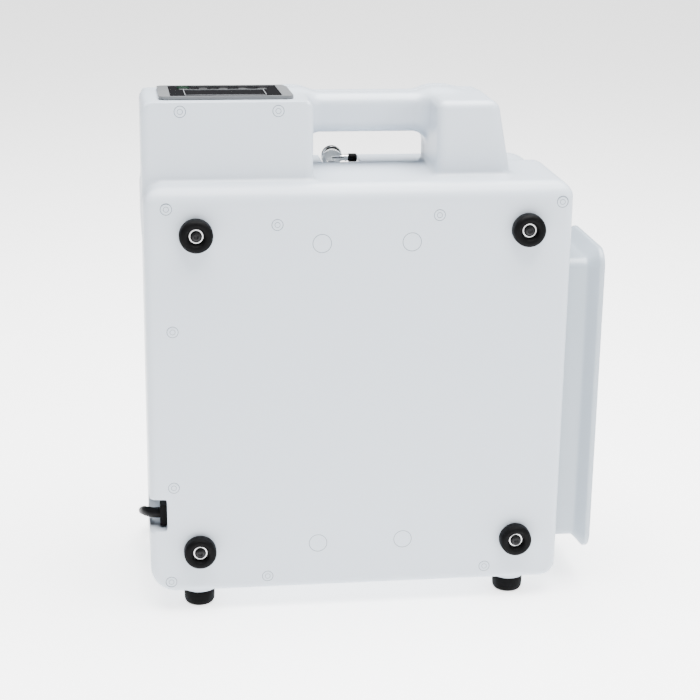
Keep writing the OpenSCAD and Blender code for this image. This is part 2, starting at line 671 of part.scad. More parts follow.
module fan_frame() color("dimgray") translate([fan_x, 0, fan_z]) {
    difference() {
        block([-fan_w / 2, yf - fan_t, -fan_w / 2], [fan_w / 2, yf, fan_w / 2]);
        rod_y(0, 0, yf - fan_t - 1, yf + 1, fan_bore);
        for (x = [-1, 1], z = [-1, 1]) rod_y(x * fan_hole, z * fan_hole, yf - fan_t - 1, yf + 1, 2.1);
    }
    difference() {
        union() {
            rod_y(0, 0, yf - fan_t, yf - fan_t + 3, 15);
            for (a = [0, 90]) rotate([0, a, 0])
                block([-fan_bore - 0.5, yf - fan_t, -2], [fan_bore + 0.5, yf - fan_t + 3, 2]);
        }
        rod_y(0, 0, yf - fan_t - 1, yf - fan_t + 4, 2.5);
    }
    for (x = [-1, 1], z = [-1, 1]) translate([x * fan_hole, yf - fan_t, z * fan_hole]) rotate([90, 0, 0])
        screw(2, fan_t + 1, 3.4, 2.2);
}

module fan_rotor() color("black") translate([fan_x, 0, fan_z]) {
    difference() {
        rod_y(0, 0, yf - fan_t + 3.5, yf - 2, 14);
        rod_y(0, 0, yf - fan_t + 3, yf - 5, 12);
    }
    rod_y(0, 0, yf - fan_t - 0.5, yf - 4.5, 2.4);
    for (a = [0:360 / 7:359]) rotate([0, a, 0]) translate([0, yf - fan_t / 2, 0]) rotate([0, 0, 0])
        translate([13, 0, 0]) rotate([40, 0, 0]) block([0, -9, -0.8], [fan_bore - 15.5, 9, 0.8]);
}

module filter_box() color("gainsboro") translate([filter_x, 0, fan_z]) difference() {
    union() {
        block([-filter_w / 2 + 3, yf - 18, -filter_h / 2 + 3], [filter_w / 2 - 3, yf, filter_h / 2 - 3]);
        rod_y(hose_x - filter_x, 0, yf - 26, yf - 17, 6);
    }
    block([-filter_w / 2 + 6, yf - 16, -filter_h / 2 + 6], [filter_w / 2 - 6, yf + 1, filter_h / 2 - 6]);
    rod_y(hose_x - filter_x, 0, yf - 27, yf - 15, intake_r - 0.5);
}

// The louvred cover, with a rim that plugs into the opening and holds the foam.
module filter_cover() color("whitesmoke") translate([filter_x, 0, fan_z]) difference() {
    union() {
        along_y(y1 - grille_t, y1) rounded([-filter_w / 2 + 0.2, -filter_h / 2 + 0.2],
                                           [filter_w / 2 - 0.2, filter_h / 2 - 0.2], 3);
        block([-filter_w / 2 + 6.3, yf - 4, -filter_h / 2 + 6.3],
              [filter_w / 2 - 6.3, y1 - grille_t + 0.1, filter_h / 2 - 6.3]);
    }
    block([-filter_w / 2 + 8, yf - 5, -filter_h / 2 + 8],
          [filter_w / 2 - 8, y1 - grille_t, filter_h / 2 - 8]);
    for (z = [-4:4]) block([-filter_w / 2 + 10, y1 - grille_t - 1, z * 8 - 2],
                           [filter_w / 2 - 10, y1 + 1, z * 8 + 2]);
}

module filter_foam() color("black") translate([filter_x, 0, fan_z])
    block([-filter_w / 2 + 8.2, yf - 4 - foam_t, -filter_h / 2 + 8.2],
          [filter_w / 2 - 8.2, yf - 4, filter_h / 2 - 8.2]);

// ---- chassis -------------------------------------------------------------

module chassis() color("lightsteelblue") difference() {
    union() {
        block([plate_x0, plate_y, shelf_z], [plate_x1, front_y, plate_z1]);
        block([plate_x0, front_y, shelf_z], [plate_x1, front_y + 90, deck_z]);
        block([plate_x1 - plate_t, front_y, bay_screw_z[0] - 10],
              [plate_x1, front_y + 26, bay_screw_z[2] + 10]);
    }
    for (m = chassis_marks) rod_y(m[0], m[1], plate_y - 1, front_y + 1, 2.1);
    for (z = bay_screw_z) rod_x(bay_screw_y, z, plate_x1 - 3, plate_x1 + 1, 1.7);
    for (x = [-1, 1], y = [-1, 1]) translate([motor_x + x * mount_x, motor_y + y * mount_y, shelf_z - 1])
        cylinder(r = 2.2, h = 4);
}

module chassis_screws() color("silver") for (m = chassis_marks)
    translate([m[0], front_y, m[1]]) rotate([-90, 0, 0]) screw(2, 8, 3.6, 2.4);

// ---- compressor ----------------------------------------------------------

// Rubber mounts with a waist, and a stud into the shelf.
module compressor_mounts() color("black")
    for (x = [-1, 1], y = [-1, 1]) translate([motor_x + x * mount_x, motor_y + y * mount_y, deck_z]) {
        rotate_extrude() polygon([[0, 0], [9, 0], [9, 3], [6.5, 6], [9, 9], [9, mount_h], [0, mount_h]]);
        translate([0, 0, -5]) cylinder(r = 2, h = 5);
    }

// Places children at the compressor's centre, for its left side (0) and its right side (1).
module at_side(s) translate([motor_x, motor_y, motor_z]) mirror([s == 0 ? 1 : 0, 0, 0]) children();

// Both crankcases on their common base.
module crankcases() color("slategray") {
    base_z = deck_z + mount_h;
    block([motor_x - mount_x - 12, motor_y - mount_y - 10, base_z],
          [motor_x + mount_x + 12, motor_y + mount_y + 10, base_z + base_t]);
    for (s = [0, 1]) at_side(s) difference() {
        union() {
            rod_x(0, 0, motor_len / 2, motor_len / 2 + case_len, case_r);
            block([motor_len / 2, -30, base_z + base_t - motor_z], [motor_len / 2 + case_len, 30, -20]);
            block([motor_len / 2, -22, 20], [motor_len / 2 + case_len, 22, jug_z]);
        }
        rod_x(0, 0, motor_len / 2 + case_wall, motor_len / 2 + case_len + 1, case_r - case_wall);
        rod_x(0, 0, motor_len / 2 - 1, motor_len / 2 + case_len, bearing_r);
        translate([motor_len / 2 + rod_at, 0, 0]) cylinder(r = 9, h = jug_z + 1);
        block([motor_len / 2 - 1, -50, jug_z], [motor_len / 2 + case_len + 1, 50, jug_z + 20]);
    }
}

module motor_stator() color("dimgray") difference() {
    rod_x(motor_y, motor_z, motor_x - motor_len / 2, motor_x + motor_len / 2, motor_dia / 2);
    rod_x(motor_y, motor_z, motor_x - motor_len / 2 - 1, motor_x + motor_len / 2 + 1, rotor_r + air_gap);
}

// Shaft, rotor core, crank webs and the two crank pins, half a turn apart.
module motor_rotor() color("silver") {
    rod_x(motor_y, motor_z, motor_x - motor_len / 2 - 10, motor_x + motor_len / 2 + 10, shaft_r);
    rod_x(motor_y, motor_z, motor_x - motor_len / 2 + 3, motor_x + motor_len / 2 - 3, rotor_r);
    for (s = [0, 1]) at_side(s) {
        rod_x(0, 0, motor_len / 2 + 10, motor_len / 2 + 13, pin_r + crank_throw + 3);
        rod_x((s == 0 ? -1 : 1) * crank_throw, 0, motor_len / 2 + 12, motor_len / 2 + rod_at + 6, pin_r);
    }
}

module bearings() color("gainsboro") for (s = [0, 1]) at_side(s) difference() {
    rod_x(0, 0, motor_len / 2, motor_len / 2 + case_wall, bearing_r);
    rod_x(0, 0, motor_len / 2 - 1, motor_len / 2 + case_wall + 1, shaft_r + 0.05);
}

module cylinders() color("lightgray") for (s = [0, 1]) at_side(s)
    translate([motor_len / 2 + rod_at, 0, jug_z]) difference() {
        union() {
            cylinder(r = bore_r + 2, h = jug_h);
            for (z = [4:6:jug_h - 4]) translate([0, 0, z]) cylinder(r = bore_r + 4, h = 2);
        }
        translate([0, 0, -1]) cylinder(r = bore_r, h = jug_h + 2);
    }

module cylinder_heads() color("slategray") for (s = [0, 1]) at_side(s)
    translate([motor_len / 2 + rod_at, 0, jug_z + jug_h]) {
        difference() {
            cylinder(r = bore_r + 4, h = head_h);
            for (y = [-9, 9]) translate([0, y, -1]) cylinder(r = 3, h = head_h);
            rod_x(9, head_h / 2, -bore_r - 5, 0, 2);
        }
        difference() {
            rod_x(9, head_h / 2, -bore_r - 8, -bore_r, 3.5);
            rod_x(9, head_h / 2, -bore_r - 9, 0, 2);
        }
        rod_x(-9, head_h / 2, bore_r, bore_r + 8, 3.5);
    }

// A piston with its rod and an open ring around the crank pin.
module piston(s) at_side(s) translate([motor_len / 2 + rod_at, 0, 0]) {
    translate([0, 0, piston_z]) cylinder(r = bore_r - 0.06, h = piston_t);
    difference() {
        union() {
            block([-3.5, -4.5, ring_r], [3.5, 4.5, piston_z + 1]);
            rod_x(0, 0, -3.5, 3.5, ring_r + ring_t);
        }
        rod_x(0, 0, -4.5, 4.5, ring_r);
    }
}
module left_piston() color("gainsboro") piston(0);
module right_piston() color("gainsboro") piston(1);

// ---- sieve beds, tank and valves -----------------------------------------

module sieve_beds() color("silver") for (y = bed_y) translate([bed_x0, y, bed_z]) rotate([0, 90, 0]) {
    cylinder(r = bed_dia / 2 - 1.5, h = bed_len);
    for (z = [-cap_len, bed_len]) translate([0, 0, z]) rotate_extrude()
        polygon([[0, 0], [bed_dia / 2 - 1.5, 0], [bed_dia / 2, 1.5], [bed_dia / 2, cap_len - 1.5],
                 [bed_dia / 2 - 1.5, cap_len], [0, cap_len]]);
    translate([0, 0, -cap_len - 7]) cylinder(r = 4, h = 8);
    translate([0, 0, bed_len + cap_len - 1]) cylinder(r = 4, h = 8);
}

module bed_brackets() color("lightsteelblue") for (x = [bed_x0 + 18, bed_x0 + bed_len - 24]) difference() {
    along_x(x, x + 6) rounded([front_y, bed_z - bed_dia / 2 - 3],
                              [bed_y[1] + bed_dia / 2 + 2, bed_z + bed_dia / 2 + 3], 2);
    for (y = bed_y) rod_x(y, bed_z, x - 1, x + 7, bed_dia / 2 - 1.5);
}

module oxygen_tank() color("steelblue") {
    translate([bed_x0, tank_y, tank_z]) rotate([0, 90, 0]) rotate_extrude()
        polygon([[0, 0], [tank_dia / 2 - 5, 0], [tank_dia / 2, 5], [tank_dia / 2, tank_len - 5],
                 [tank_dia / 2 - 5, tank_len], [0, tank_len]]);
    for (x = [bed_x0 + 24, bed_x0 + tank_len - 36])
        block([x, front_y, tank_z - 6], [x + 12, tank_y, tank_z + 6]);
    rod_x(tank_y, tank_z, bed_x0 + tank_len - 1, bed_x0 + tank_len + 8, 3.5);
}

// Distribution block with two solenoid valves on it, standing on the beds' brackets.
module valve_block() color("goldenrod") difference() {
    union() {
        block([block_x0, valve_y - 13, valve_z - 3], [block_x0 + block_w, valve_y + 13, valve_z + 14]);
        for (x = [24, 62]) translate([block_x0 + x, valve_y, valve_z + 13])
            cylinder(r = coil_r, h = coil_h + 1);
        rod_x(valve_y, valve_z + 5, block_x0 + block_w - 1, block_x0 + block_w + 8, 3.5);
    }
    translate([block_x0 + 62, valve_y, valve_z + 14 + 6]) cylinder(r = 3.3, h = coil_h);
}

// The spring-loaded plunger of one valve, whose end shows above its coil.
module valve_plunger() color("silver")
    translate([block_x0 + 62, valve_y, valve_z + 14 + 6 + plunger_travel + fit])
        cylinder(r = 3.25, h = coil_h - 4 - fit);

// ---- electronics ---------------------------------------------------------

// The control board stands on posts behind the front shell's face.
module control_board() color("darkgreen") {
    board_y = yf - 12;
    cx = plate_x0 + 56;
    bz = valve_z;
    block([cx - 45, board_y - 1.6, bz], [cx + 45, board_y, bz + 44]);
    for (x = [cx - 40, cx + 40], z = [bz + 5, bz + 39]) rod_y(x, z, board_y, yf, 2.5);
    block([cx - 30, board_y - 4, bz + 14], [cx - 14, board_y - 1.6, bz + 30]);
    block([cx + 2, board_y - 3.4, bz + 8], [cx + 12, board_y - 1.6, bz + 26]);
    block([cx + 20, board_y - 8, bz + 26], [cx + 38, board_y - 1.6, bz + 38]);
}

// The power board stands on the bay's four posts, with its transformer, capacitors and heat sink.
module power_supply() color("darkolivegreen") {
    bz = bay_z1 + 6;
    px = x1 - wall - 47;
    block([px, bay_cy - 33, bz], [px + 44, bay_cy + 33, bz + 1.6]);
    block([px + 8, bay_cy - 28, bz + 1.6], [px + 36, bay_cy - 2, bz + 22]);
    for (x = [px + 12, px + 30]) translate([x, bay_cy + 8, bz + 1.6]) cylinder(r = 7, h = 20);
    for (i = [0:4]) block([px + 6 + i * 7, bay_cy + 18, bz + 1.6], [px + 8 + i * 7, bay_cy + 30, bz + 18]);
    block([px + 6, bay_cy + 22, bz + 1.6], [px + 36, bay_cy + 25, bz + 18]);
}

// ---- hoses ---------------------------------------------------------------

// A quarter bend of a hose of radius r about the point c, turned from the XY plane.
module elbow(c, turn, r) translate(c) rotate(turn) rotate_extrude(angle = 90)
    translate([bend_r, 0]) circle(r = r);

// A link between the heads, the way from the filter to a head, and the way from the tank
// to the outlet.
module air_hoses() color("gainsboro") {
    rod_x(motor_y + 9, head_top, motor_x - join_x, motor_x + join_x, hose_r);

    rod_y(hose_x, fan_z, motor_y - 9 + bend_r, yf - 26, intake_r);
    elbow([hose_x, motor_y - 9 + bend_r, fan_z + bend_r], [-90, 0, -90], intake_r);
    translate([hose_x, motor_y - 9, fan_z + bend_r])
        cylinder(r = intake_r, h = head_top - fan_z - 2 * bend_r);
    elbow([hose_x - bend_r, motor_y - 9, head_top - bend_r], [90, 0, 0], intake_r);

    elbow([tank_port_x, tank_y + bend_r, tank_z], [0, 0, -90], hose_r);
    rod_y(tank_port_x + bend_r, tank_z, tank_y + bend_r, spout_y - bend_r, hose_r);
    elbow([tank_port_x, spout_y - bend_r, tank_z], [0, 0, 0], hose_r);
    rod_x(spout_y, tank_z, spout_x + bend_r, tank_port_x, hose_r);
    elbow([spout_x + bend_r, spout_y, tank_z + bend_r], [-90, 0, 180], hose_r);
    translate([spout_x, spout_y, tank_z + bend_r])
        cylinder(r = hose_r, h = niche_z0 - spout_stem - tank_z - bend_r);
}

// ---- mains cord ----------------------------------------------------------

// The gland: a block in the notch, a neck through its wall and a nut inside.
module cord_gland() color("black") difference() {
    union() {
        block([gland_x, gland_y - 6, gland_z - 8], [x0 + notch_w, gland_y + 6, gland_z + 8]);
        rod_x(gland_y, gland_z, x0 + notch_w - 1, x0 + notch_w + wall + 8, 4.9);
        rod_x(gland_y, gland_z, x0 + notch_w + wall, x0 + notch_w + wall + 5, 7);
    }
    rod_x(gland_y, gland_z, x0 + notch_w, x0 + notch_w + 30, cord_dia / 2);
}

module cord_lead() color("black") tube_along(finer(cord_points), cord_dia / 2);

module cord_coil() color("black") translate([coil_c[0], coil_c[1], 0]) rotate_extrude()
    translate([coil_mid_r - coil_cols * cord_dia / 2, 0])
        square([coil_cols * cord_dia, coil_rows * cord_dia]);

// The plug lies beyond the coil, its neck on the cord that leaves the middle turns.
module mains_plug() color("black") translate([plug_c[0], plug_c[1], coil_rows * cord_dia / 2]) {
    h = coil_rows * cord_dia / 2;
    rotate([-90, 0, 0]) cylinder(r = cord_dia / 2 + 1.6, h = plug_neck);
    block([-plug_w / 2, plug_neck - 1, -h], [plug_w / 2, plug_neck + plug_len, h]);
    for (x = [-6.3, 6.3])
        block([x - 3, plug_neck + plug_len - 1, -0.75], [x + 3, plug_neck + plug_len + 18, 0.75]);
}

rear_shell();
front_shell();
case_screws();
screw_caps();
panel_frame();
panel_window();
lcd_module();
panel_board();
key_switches();
buzzer();
panel_screws();
power_key();
flow_up_key();
flow_down_key();
timer_key();
mute_key();
rear_feet();
foot_washers();
foot_screws();
base_feet();
base_foot_screws();
bottle_bay();
bay_screws();
bottle_cradle();
bottle_jar();
bottle_seal();
bottle_lid();
bubbler_stem();
outlet_fitting();
outlet_cap();
outlet_nut();
exhaust_grille();
fan_frame();
fan_rotor();
filter_box();
filter_cover();
filter_foam();
chassis();
chassis_screws();
compressor_mounts();
crankcases();
motor_stator();
motor_rotor();
bearings();
cylinders();
cylinder_heads();
left_piston();
right_piston();
sieve_beds();
bed_brackets();
oxygen_tank();
valve_block();
valve_plunger();
control_board();
power_supply();
air_hoses();
cord_gland();
cord_lead();
cord_coil();
mains_plug();
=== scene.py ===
"""Looks of a suitcase-style oxygen concentrator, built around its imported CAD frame.

Sizes are in millimetres inside the builders and are turned to metres when a mesh is made.
X runs towards the bottle bay, Y from the rear face to the user side, and Z up.
"""

import json
import logging
import math
from dataclasses import dataclass, field
from enum import Enum
from typing import Callable, ClassVar, Iterable, Optional, Sequence, Union

import bpy
import numpy as np
from mathutils import Matrix, Vector


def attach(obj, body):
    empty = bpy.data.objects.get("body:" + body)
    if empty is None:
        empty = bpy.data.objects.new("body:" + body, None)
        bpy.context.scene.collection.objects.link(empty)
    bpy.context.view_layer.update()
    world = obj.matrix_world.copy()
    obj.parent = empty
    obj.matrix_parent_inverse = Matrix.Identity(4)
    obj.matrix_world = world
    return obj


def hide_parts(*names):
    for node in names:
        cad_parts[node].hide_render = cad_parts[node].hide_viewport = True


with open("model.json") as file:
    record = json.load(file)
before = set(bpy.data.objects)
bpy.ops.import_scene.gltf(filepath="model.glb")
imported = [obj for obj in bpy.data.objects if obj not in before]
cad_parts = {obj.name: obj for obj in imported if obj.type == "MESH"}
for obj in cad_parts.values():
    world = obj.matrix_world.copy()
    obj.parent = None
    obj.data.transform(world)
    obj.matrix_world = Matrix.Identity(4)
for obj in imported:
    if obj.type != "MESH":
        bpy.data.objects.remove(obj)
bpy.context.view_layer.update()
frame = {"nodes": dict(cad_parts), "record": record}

MM = 0.001
ROUTE_STEP = 2.0
LOG = logging.getLogger("concentrator")
Colour = tuple[float, float, float]
Point = tuple[float, float, float]
Number = Union[float, int]


class Body(str, Enum):
    """CAD bodies that made pieces ride on."""

    CASING = "casing"
    BOTTLE = "bottle"


class Axis(Enum):
    """Directions that turned pieces stand along, as the matrix from local Z to that direction."""

    UP = Matrix.Identity(4)
    DOWN = Matrix.Rotation(math.pi, 4, "X")
    REAR = Matrix.Rotation(math.pi / 2, 4, "X")
    FRONT = Matrix.Rotation(-math.pi / 2, 4, "X")
    RIGHT = Matrix.Rotation(math.pi / 2, 4, "Y")


# ---- materials -------------------------------------------------------------


class Wire:
    """One output socket of a node tree, on which arithmetic makes Math nodes."""

    def __init__(self, graph: "Graph", socket: bpy.types.NodeSocket) -> None:
        """Wraps a socket.

        Args:
            graph: The node tree's builder.
            socket: The output socket.
        """
        self.graph = graph
        self.socket = socket

    def math(self, operation: str, *others: Union["Wire", Number], swap: bool = False) -> "Wire":
        """Makes a Math node.

        Args:
            operation: Blender's name of the operation.
            others: The other operands, wires or numbers.
            swap: True to put this wire second.

        Returns:
            The node's result.
        """
        terms = [self, *others]
        if swap:
            terms.reverse()
        return self.graph.wire("ShaderNodeMath", {"operation": operation}, dict(enumerate(terms)))

    def __add__(self, other: Union["Wire", Number]) -> "Wire":
        """Sum with another wire or a number."""
        return self.math("ADD", other)

    __radd__ = __add__

    def __mul__(self, other: Union["Wire", Number]) -> "Wire":
        """Product with another wire or a number."""
        return self.math("MULTIPLY", other)

    __rmul__ = __mul__

    def __sub__(self, other: Union["Wire", Number]) -> "Wire":
        """Difference from another wire or a number."""
        return self.math("SUBTRACT", other)

    def __rsub__(self, other: Union["Wire", Number]) -> "Wire":
        """Number minus this wire."""
        return self.math("SUBTRACT", other, swap=True)

    def __truediv__(self, other: Union["Wire", Number]) -> "Wire":
        """Quotient by another wire or a number."""
        return self.math("DIVIDE", other)

    def __rtruediv__(self, other: Union["Wire", Number]) -> "Wire":
        """Number divided by this wire."""
        return self.math("DIVIDE", other, swap=True)


class Graph:
    """Builds one material's node tree."""

    def __init__(self, name: str) -> None:
        """Starts an empty tree with a Principled BSDF and an output.

        Args:
            name: The material's name.
        """
        self.material = bpy.data.materials.new(name)
        self.material.use_nodes = True
        self.tree = self.material.node_tree
        self.tree.nodes.clear()
        self.surface = self.tree.nodes.new("ShaderNodeBsdfPrincipled")
        out = self.tree.nodes.new("ShaderNodeOutputMaterial")
        self.tree.links.new(self.surface.outputs[0], out.inputs["Surface"])

    def node(self, kind: str, settings: dict, inputs: dict) -> bpy.types.Node:
        """Makes a node.

        Args:
            kind: The node's type name.
            settings: Attributes that are set first.
            inputs: Socket names or numbers with their values or wires.

        Returns:
            The node.
        """
        made = self.tree.nodes.new(kind)
        for key, value in settings.items():
            setattr(made, key, value)
        for key, value in inputs.items():
            self.set(made.inputs[key], value)
        return made

    def set(self, socket: bpy.types.NodeSocket, value: object) -> None:
        """Links a wire to a socket, or sets its value.

        Args:
            socket: The input socket.
            value: A wire or a plain value.
        """
        if isinstance(value, Wire):
            self.tree.links.new(value.socket, socket)
        else:
            socket.default_value = value

    def wire(self, kind: str, settings: dict, inputs: dict, output: Union[int, str] = 0) -> Wire:
        """Makes a node and returns one of its outputs.

        Args:
            kind: The node's type name.
            settings: Attributes that are set first.
            inputs: Socket names or numbers with their values or wires.
            output: The output's name or number.

        Returns:
            The output as a wire.
        """
        return Wire(self, self.node(kind, settings, inputs).outputs[output])

    def place(self, stretch: Point = (1.0, 1.0, 1.0)) -> Wire:
        """Object coordinates, stretched.

        Args:
            stretch: Factor along each axis.

        Returns:
            The coordinates.
        """
        coords = self.wire("ShaderNodeTexCoord", {}, {}, "Object")
        return self.wire("ShaderNodeVectorMath", {"operation": "MULTIPLY"}, {0: coords, 1: stretch})

    def noise(self, scale: float, detail: float = 3.0, stretch: Point = (1.0, 1.0, 1.0)) -> Wire:
        """Noise over object coordinates.

        Args:
            scale: Cells per metre.
            detail: Octaves.
            stretch: Factor along each axis.

        Returns:
            The noise value, about 0.5.
        """
        inputs = {"Vector": self.place(stretch), "Scale": scale, "Detail": detail, "Roughness": 0.55}
        return self.wire("ShaderNodeTexNoise", {}, inputs, 0)

    def mix(self, factor: Wire, low: Colour, high: Union[Colour, Wire]) -> Wire:
        """Mixes two colours.

        Args:
            factor: How much of the second colour.
            low: The first colour.
            high: The second colour.

        Returns:
            The mixed colour.
        """
        settings = {"data_type": "RGBA", "clamp_factor": True}
        second = high if isinstance(high, Wire) else (*high, 1.0)
        return self.wire("ShaderNodeMix", settings, {0: factor, 6: (*low, 1.0), 7: second}, 2)

    def bump(self, height: Wire, strength: float, depth: float) -> Wire:
        """Turns a height into a normal.

        Args:
            height: The height, 0 to 1.
            strength: The bump's strength.
            depth: The real height of 1, in millimetres.

        Returns:
            The normal.
        """
        inputs = {"Strength": strength, "Distance": depth * MM, "Height": height}
        return self.wire("ShaderNodeBump", {}, inputs)


def scaled(colour: Colour, factor: float) -> Colour:
    """A colour made lighter or darker.

    Args:
        colour: The colour.
        factor: What each channel is multiplied by.

    Returns:
        The new colour, at most 1.
    """
    return tuple(min(1.0, c * factor) for c in colour)


@dataclass(frozen=True)
class Finish:
    """A plain finish: a colour with slight variation, roughness and a fine grain."""

    name: str
    colour: Colour
    roughness: float = 0.42
    metallic: float = 0.0
    coat: float = 0.0
    spread: float = 0.03
    grain: float = 1600.0
    relief: float = 0.12
    depth: float = 0.04
    shine: float = 0.5

    def build(self) -> bpy.types.Material:
        """Makes the material once and returns it from then on."""
        title = self.name + "_finish"
        known = bpy.data.materials.get(title)
        if known:
            return known
        graph = Graph(title)
        graph.surface.inputs["Metallic"].default_value = self.metallic
        graph.surface.inputs["Coat Weight"].default_value = self.coat
        graph.surface.inputs["Coat Roughness"].default_value = 0.08
        graph.surface.inputs["Specular IOR Level"].default_value = self.shine
        self.shade(graph)
        return graph.material

    def shade(self, graph: Graph) -> None:
        """Adds this finish's own nodes.

        Args:
            graph: The material's builder.
        """
        broad = graph.noise(14.0)
        fine = graph.noise(self.grain, 2.0)
        low, high = scaled(self.colour, 1 - self.spread), scaled(self.colour, 1 + self.spread)
        graph.set(graph.surface.inputs["Base Color"], graph.mix(broad, low, high))
        uneven = 0.10 * (broad - 0.5) + 0.05 * (fine - 0.5)
        graph.set(graph.surface.inputs["Roughness"], self.roughness + uneven)
        graph.set(graph.surface.inputs["Normal"], graph.bump(fine, self.relief, self.depth))


@dataclass(frozen=True)
class Brushed(Finish):
    """Metal with fine scratches along one axis."""

    metallic: float = 1.0
    stretch: Point = (1.0, 40.0, 40.0)

    def shade(self, graph: Graph) -> None:
        """Adds stretched noise for the scratches.

        Args:
            graph: The material's builder.
        """
        lines = graph.noise(60.0, 4.0, self.stretch)
        graph.set(graph.surface.inputs["Base Color"],
                  graph.mix(lines, scaled(self.colour, 0.9), scaled(self.colour, 1.08)))
        graph.set(graph.surface.inputs["Roughness"], self.roughness + 0.2 * (lines - 0.5))
        graph.set(graph.surface.inputs["Normal"], graph.bump(lines, 0.15, 0.02))


@dataclass(frozen=True)
class Porous(Finish):
    """Foam or cast metal with visible cells."""

    cells: float = 700.0

    def shade(self, graph: Graph) -> None:
        """Adds cells to the colour and the relief.

        Args:
            graph: The material's builder.
        """
        inputs = {"Vector": graph.place(), "Scale": self.cells}
        cells = graph.wire("ShaderNodeTexVoronoi", {}, inputs, "Distance")
        graph.set(graph.surface.inputs["Base Color"],
                  graph.mix(cells, scaled(self.colour, 1.25), scaled(self.colour, 0.55)))
        graph.set(graph.surface.inputs["Roughness"], self.roughness + 0.15 * (cells - 0.4))
        graph.set(graph.surface.inputs["Normal"], graph.bump(cells, 0.5, self.depth))


@dataclass(frozen=True)
class Circuit(Finish):
    """Solder mask with copper traces under it."""

    def shade(self, graph: Graph) -> None:
        """Adds a blocky pattern of traces.

        Args:
            graph: The material's builder.
        """
        inputs = {"Vector": graph.place((1.0, 1.0, 1.0)), "Scale": 260.0, "Randomness": 0.0}
        cells = graph.wire("ShaderNodeTexVoronoi", {"distance": "CHEBYCHEV"}, inputs, "Distance")
        broad = graph.noise(120.0, 1.0)
        traces = (cells - 0.36).math("MULTIPLY", 14.0).math("MULTIPLY", broad)
        copper = scaled(self.colour, 2.2)
        graph.set(graph.surface.inputs["Base Color"], graph.mix(traces, self.colour, copper))
        graph.set(graph.surface.inputs["Roughness"], self.roughness + 0.1 * (broad - 0.5))
        graph.set(graph.surface.inputs["Normal"], graph.bump(traces, 0.2, 0.03))


@dataclass(frozen=True)
class Clear(Finish):
    """Clear moulded plastic, water or glass."""

    index: float = 1.45

    def shade(self, graph: Graph) -> None:
        """Sets the transmission, with a slight unevenness.

        Args:
            graph: The material's builder.
        """
        graph.surface.inputs["Transmission Weight"].default_value = 1.0
        graph.surface.inputs["IOR"].default_value = self.index
        graph.surface.inputs["Base Color"].default_value = (*self.colour, 1.0)
        wave = graph.noise(60.0, 1.0)
        graph.set(graph.surface.inputs["Roughness"], self.roughness + 0.03 * wave)
        graph.set(graph.surface.inputs["Normal"], graph.bump(wave, 0.03, 0.2))


CASING = Finish("casing_white", (0.50, 0.55, 0.61), 0.34, spread=0.012, relief=0.10)
# Darker copy of the casing white: painted shade for the recessed bay wall, which is white plastic like the
# casing.
BAY_PAINTED_SHADE = Finish("bay_white", (0.34, 0.39, 0.44), 0.32, spread=0.012, relief=0.06)
GRILLE = Finish("grille_white", (0.36, 0.44, 0.54), 0.42, spread=0.012)
# Dark rings that paint the shadow in the gaps round the screw caps and in the grooves of the witness marks.
SEAM_SHADOW = Finish("seam_painted_shadow", (0.10, 0.125, 0.155), 0.55)
SILVER = Finish("panel_silver", (0.12, 0.125, 0.13), 0.45, spread=0.15, relief=0.05, shine=0.3)
GLOSS = Finish("panel_black", (0.010, 0.010, 0.012), 0.12, coat=0.6, relief=0.01)
MARKING = Finish("panel_marking", (0.22, 0.23, 0.24), 0.45)
KEY_GREEN = Finish("key_green", (0.003, 0.014, 0.007), 0.5, shine=0.08)
KEY_GREY = Finish("key_grey", (0.007, 0.007, 0.008), 0.5, shine=0.08)
CIRCUIT = Circuit("circuit_green", (0.012, 0.13, 0.05), 0.35)
COMPONENT = Finish("component_black", (0.028, 0.028, 0.032), 0.5)
RUBBER = Finish("rubber_black", (0.0022, 0.0022, 0.0025), 0.55, spread=0.15, grain=1200.0,
                relief=0.25, shine=0.05)
CORD = Finish("cord_black", (0.003, 0.003, 0.0035), 0.50, shine=0.08, spread=0.10, relief=0.15)
PLUG = Finish("plug_black", (0.020, 0.020, 0.022), 0.38)
STEEL = Brushed("screw_steel", (0.62, 0.62, 0.63), 0.28)
BLACK_STEEL = Finish("screw_black", (0.008, 0.008, 0.009), 0.42, shine=0.25)
SHEET = Brushed("chassis_steel", (0.55, 0.58, 0.61), 0.38, stretch=(1.0, 1.0, 1.0))
CHROME = Finish("outlet_chrome", (0.80, 0.78, 0.75), 0.09, metallic=1.0, relief=0.01)
BRASS = Brushed("brass", (0.72, 0.50, 0.22), 0.26)
CAST = Porous("cast_alloy", (0.50, 0.51, 0.53), 0.5, metallic=0.9, depth=0.1)
TUBE = Brushed("tube_alloy", (0.74, 0.75, 0.77), 0.25)
IRON = Brushed("steel_dark", (0.17, 0.18, 0.20), 0.45, stretch=(50.0, 1.0, 1.0))
JAR = Clear("jar_clear", (0.90, 0.96, 0.98), 0.03)
WATER = Clear("water", (0.86, 0.95, 0.98), 0.0, index=1.33)
LID = Finish("lid_blue", (0.04, 0.13, 0.42), 0.36)
SEAL = Finish("seal_orange", (0.72, 0.20, 0.06), 0.5)
FOAM = Porous("foam_black", (0.030, 0.030, 0.034), 0.9, depth=0.6)
HOSE = Finish("hose_clear", (0.62, 0.64, 0.64), 0.3, coat=0.3)
TANK = Finish("tank_blue", (0.08, 0.18, 0.34), 0.35, coat=0.3)
FLOOR = Finish("floor_pale", (0.93, 0.93, 0.93), 0.65, spread=0.004, relief=0.0)
FINISHES = {f.name: f for f in (
    CASING, BAY_PAINTED_SHADE, GRILLE, SILVER, GLOSS, KEY_GREEN, KEY_GREY, CIRCUIT, COMPONENT, RUBBER, CORD, PLUG, STEEL,
    BLACK_STEEL, SHEET, CHROME, BRASS, CAST, TUBE, IRON, JAR, LID, SEAL, FOAM, HOSE, TANK)}


# ---- meshes ----------------------------------------------------------------


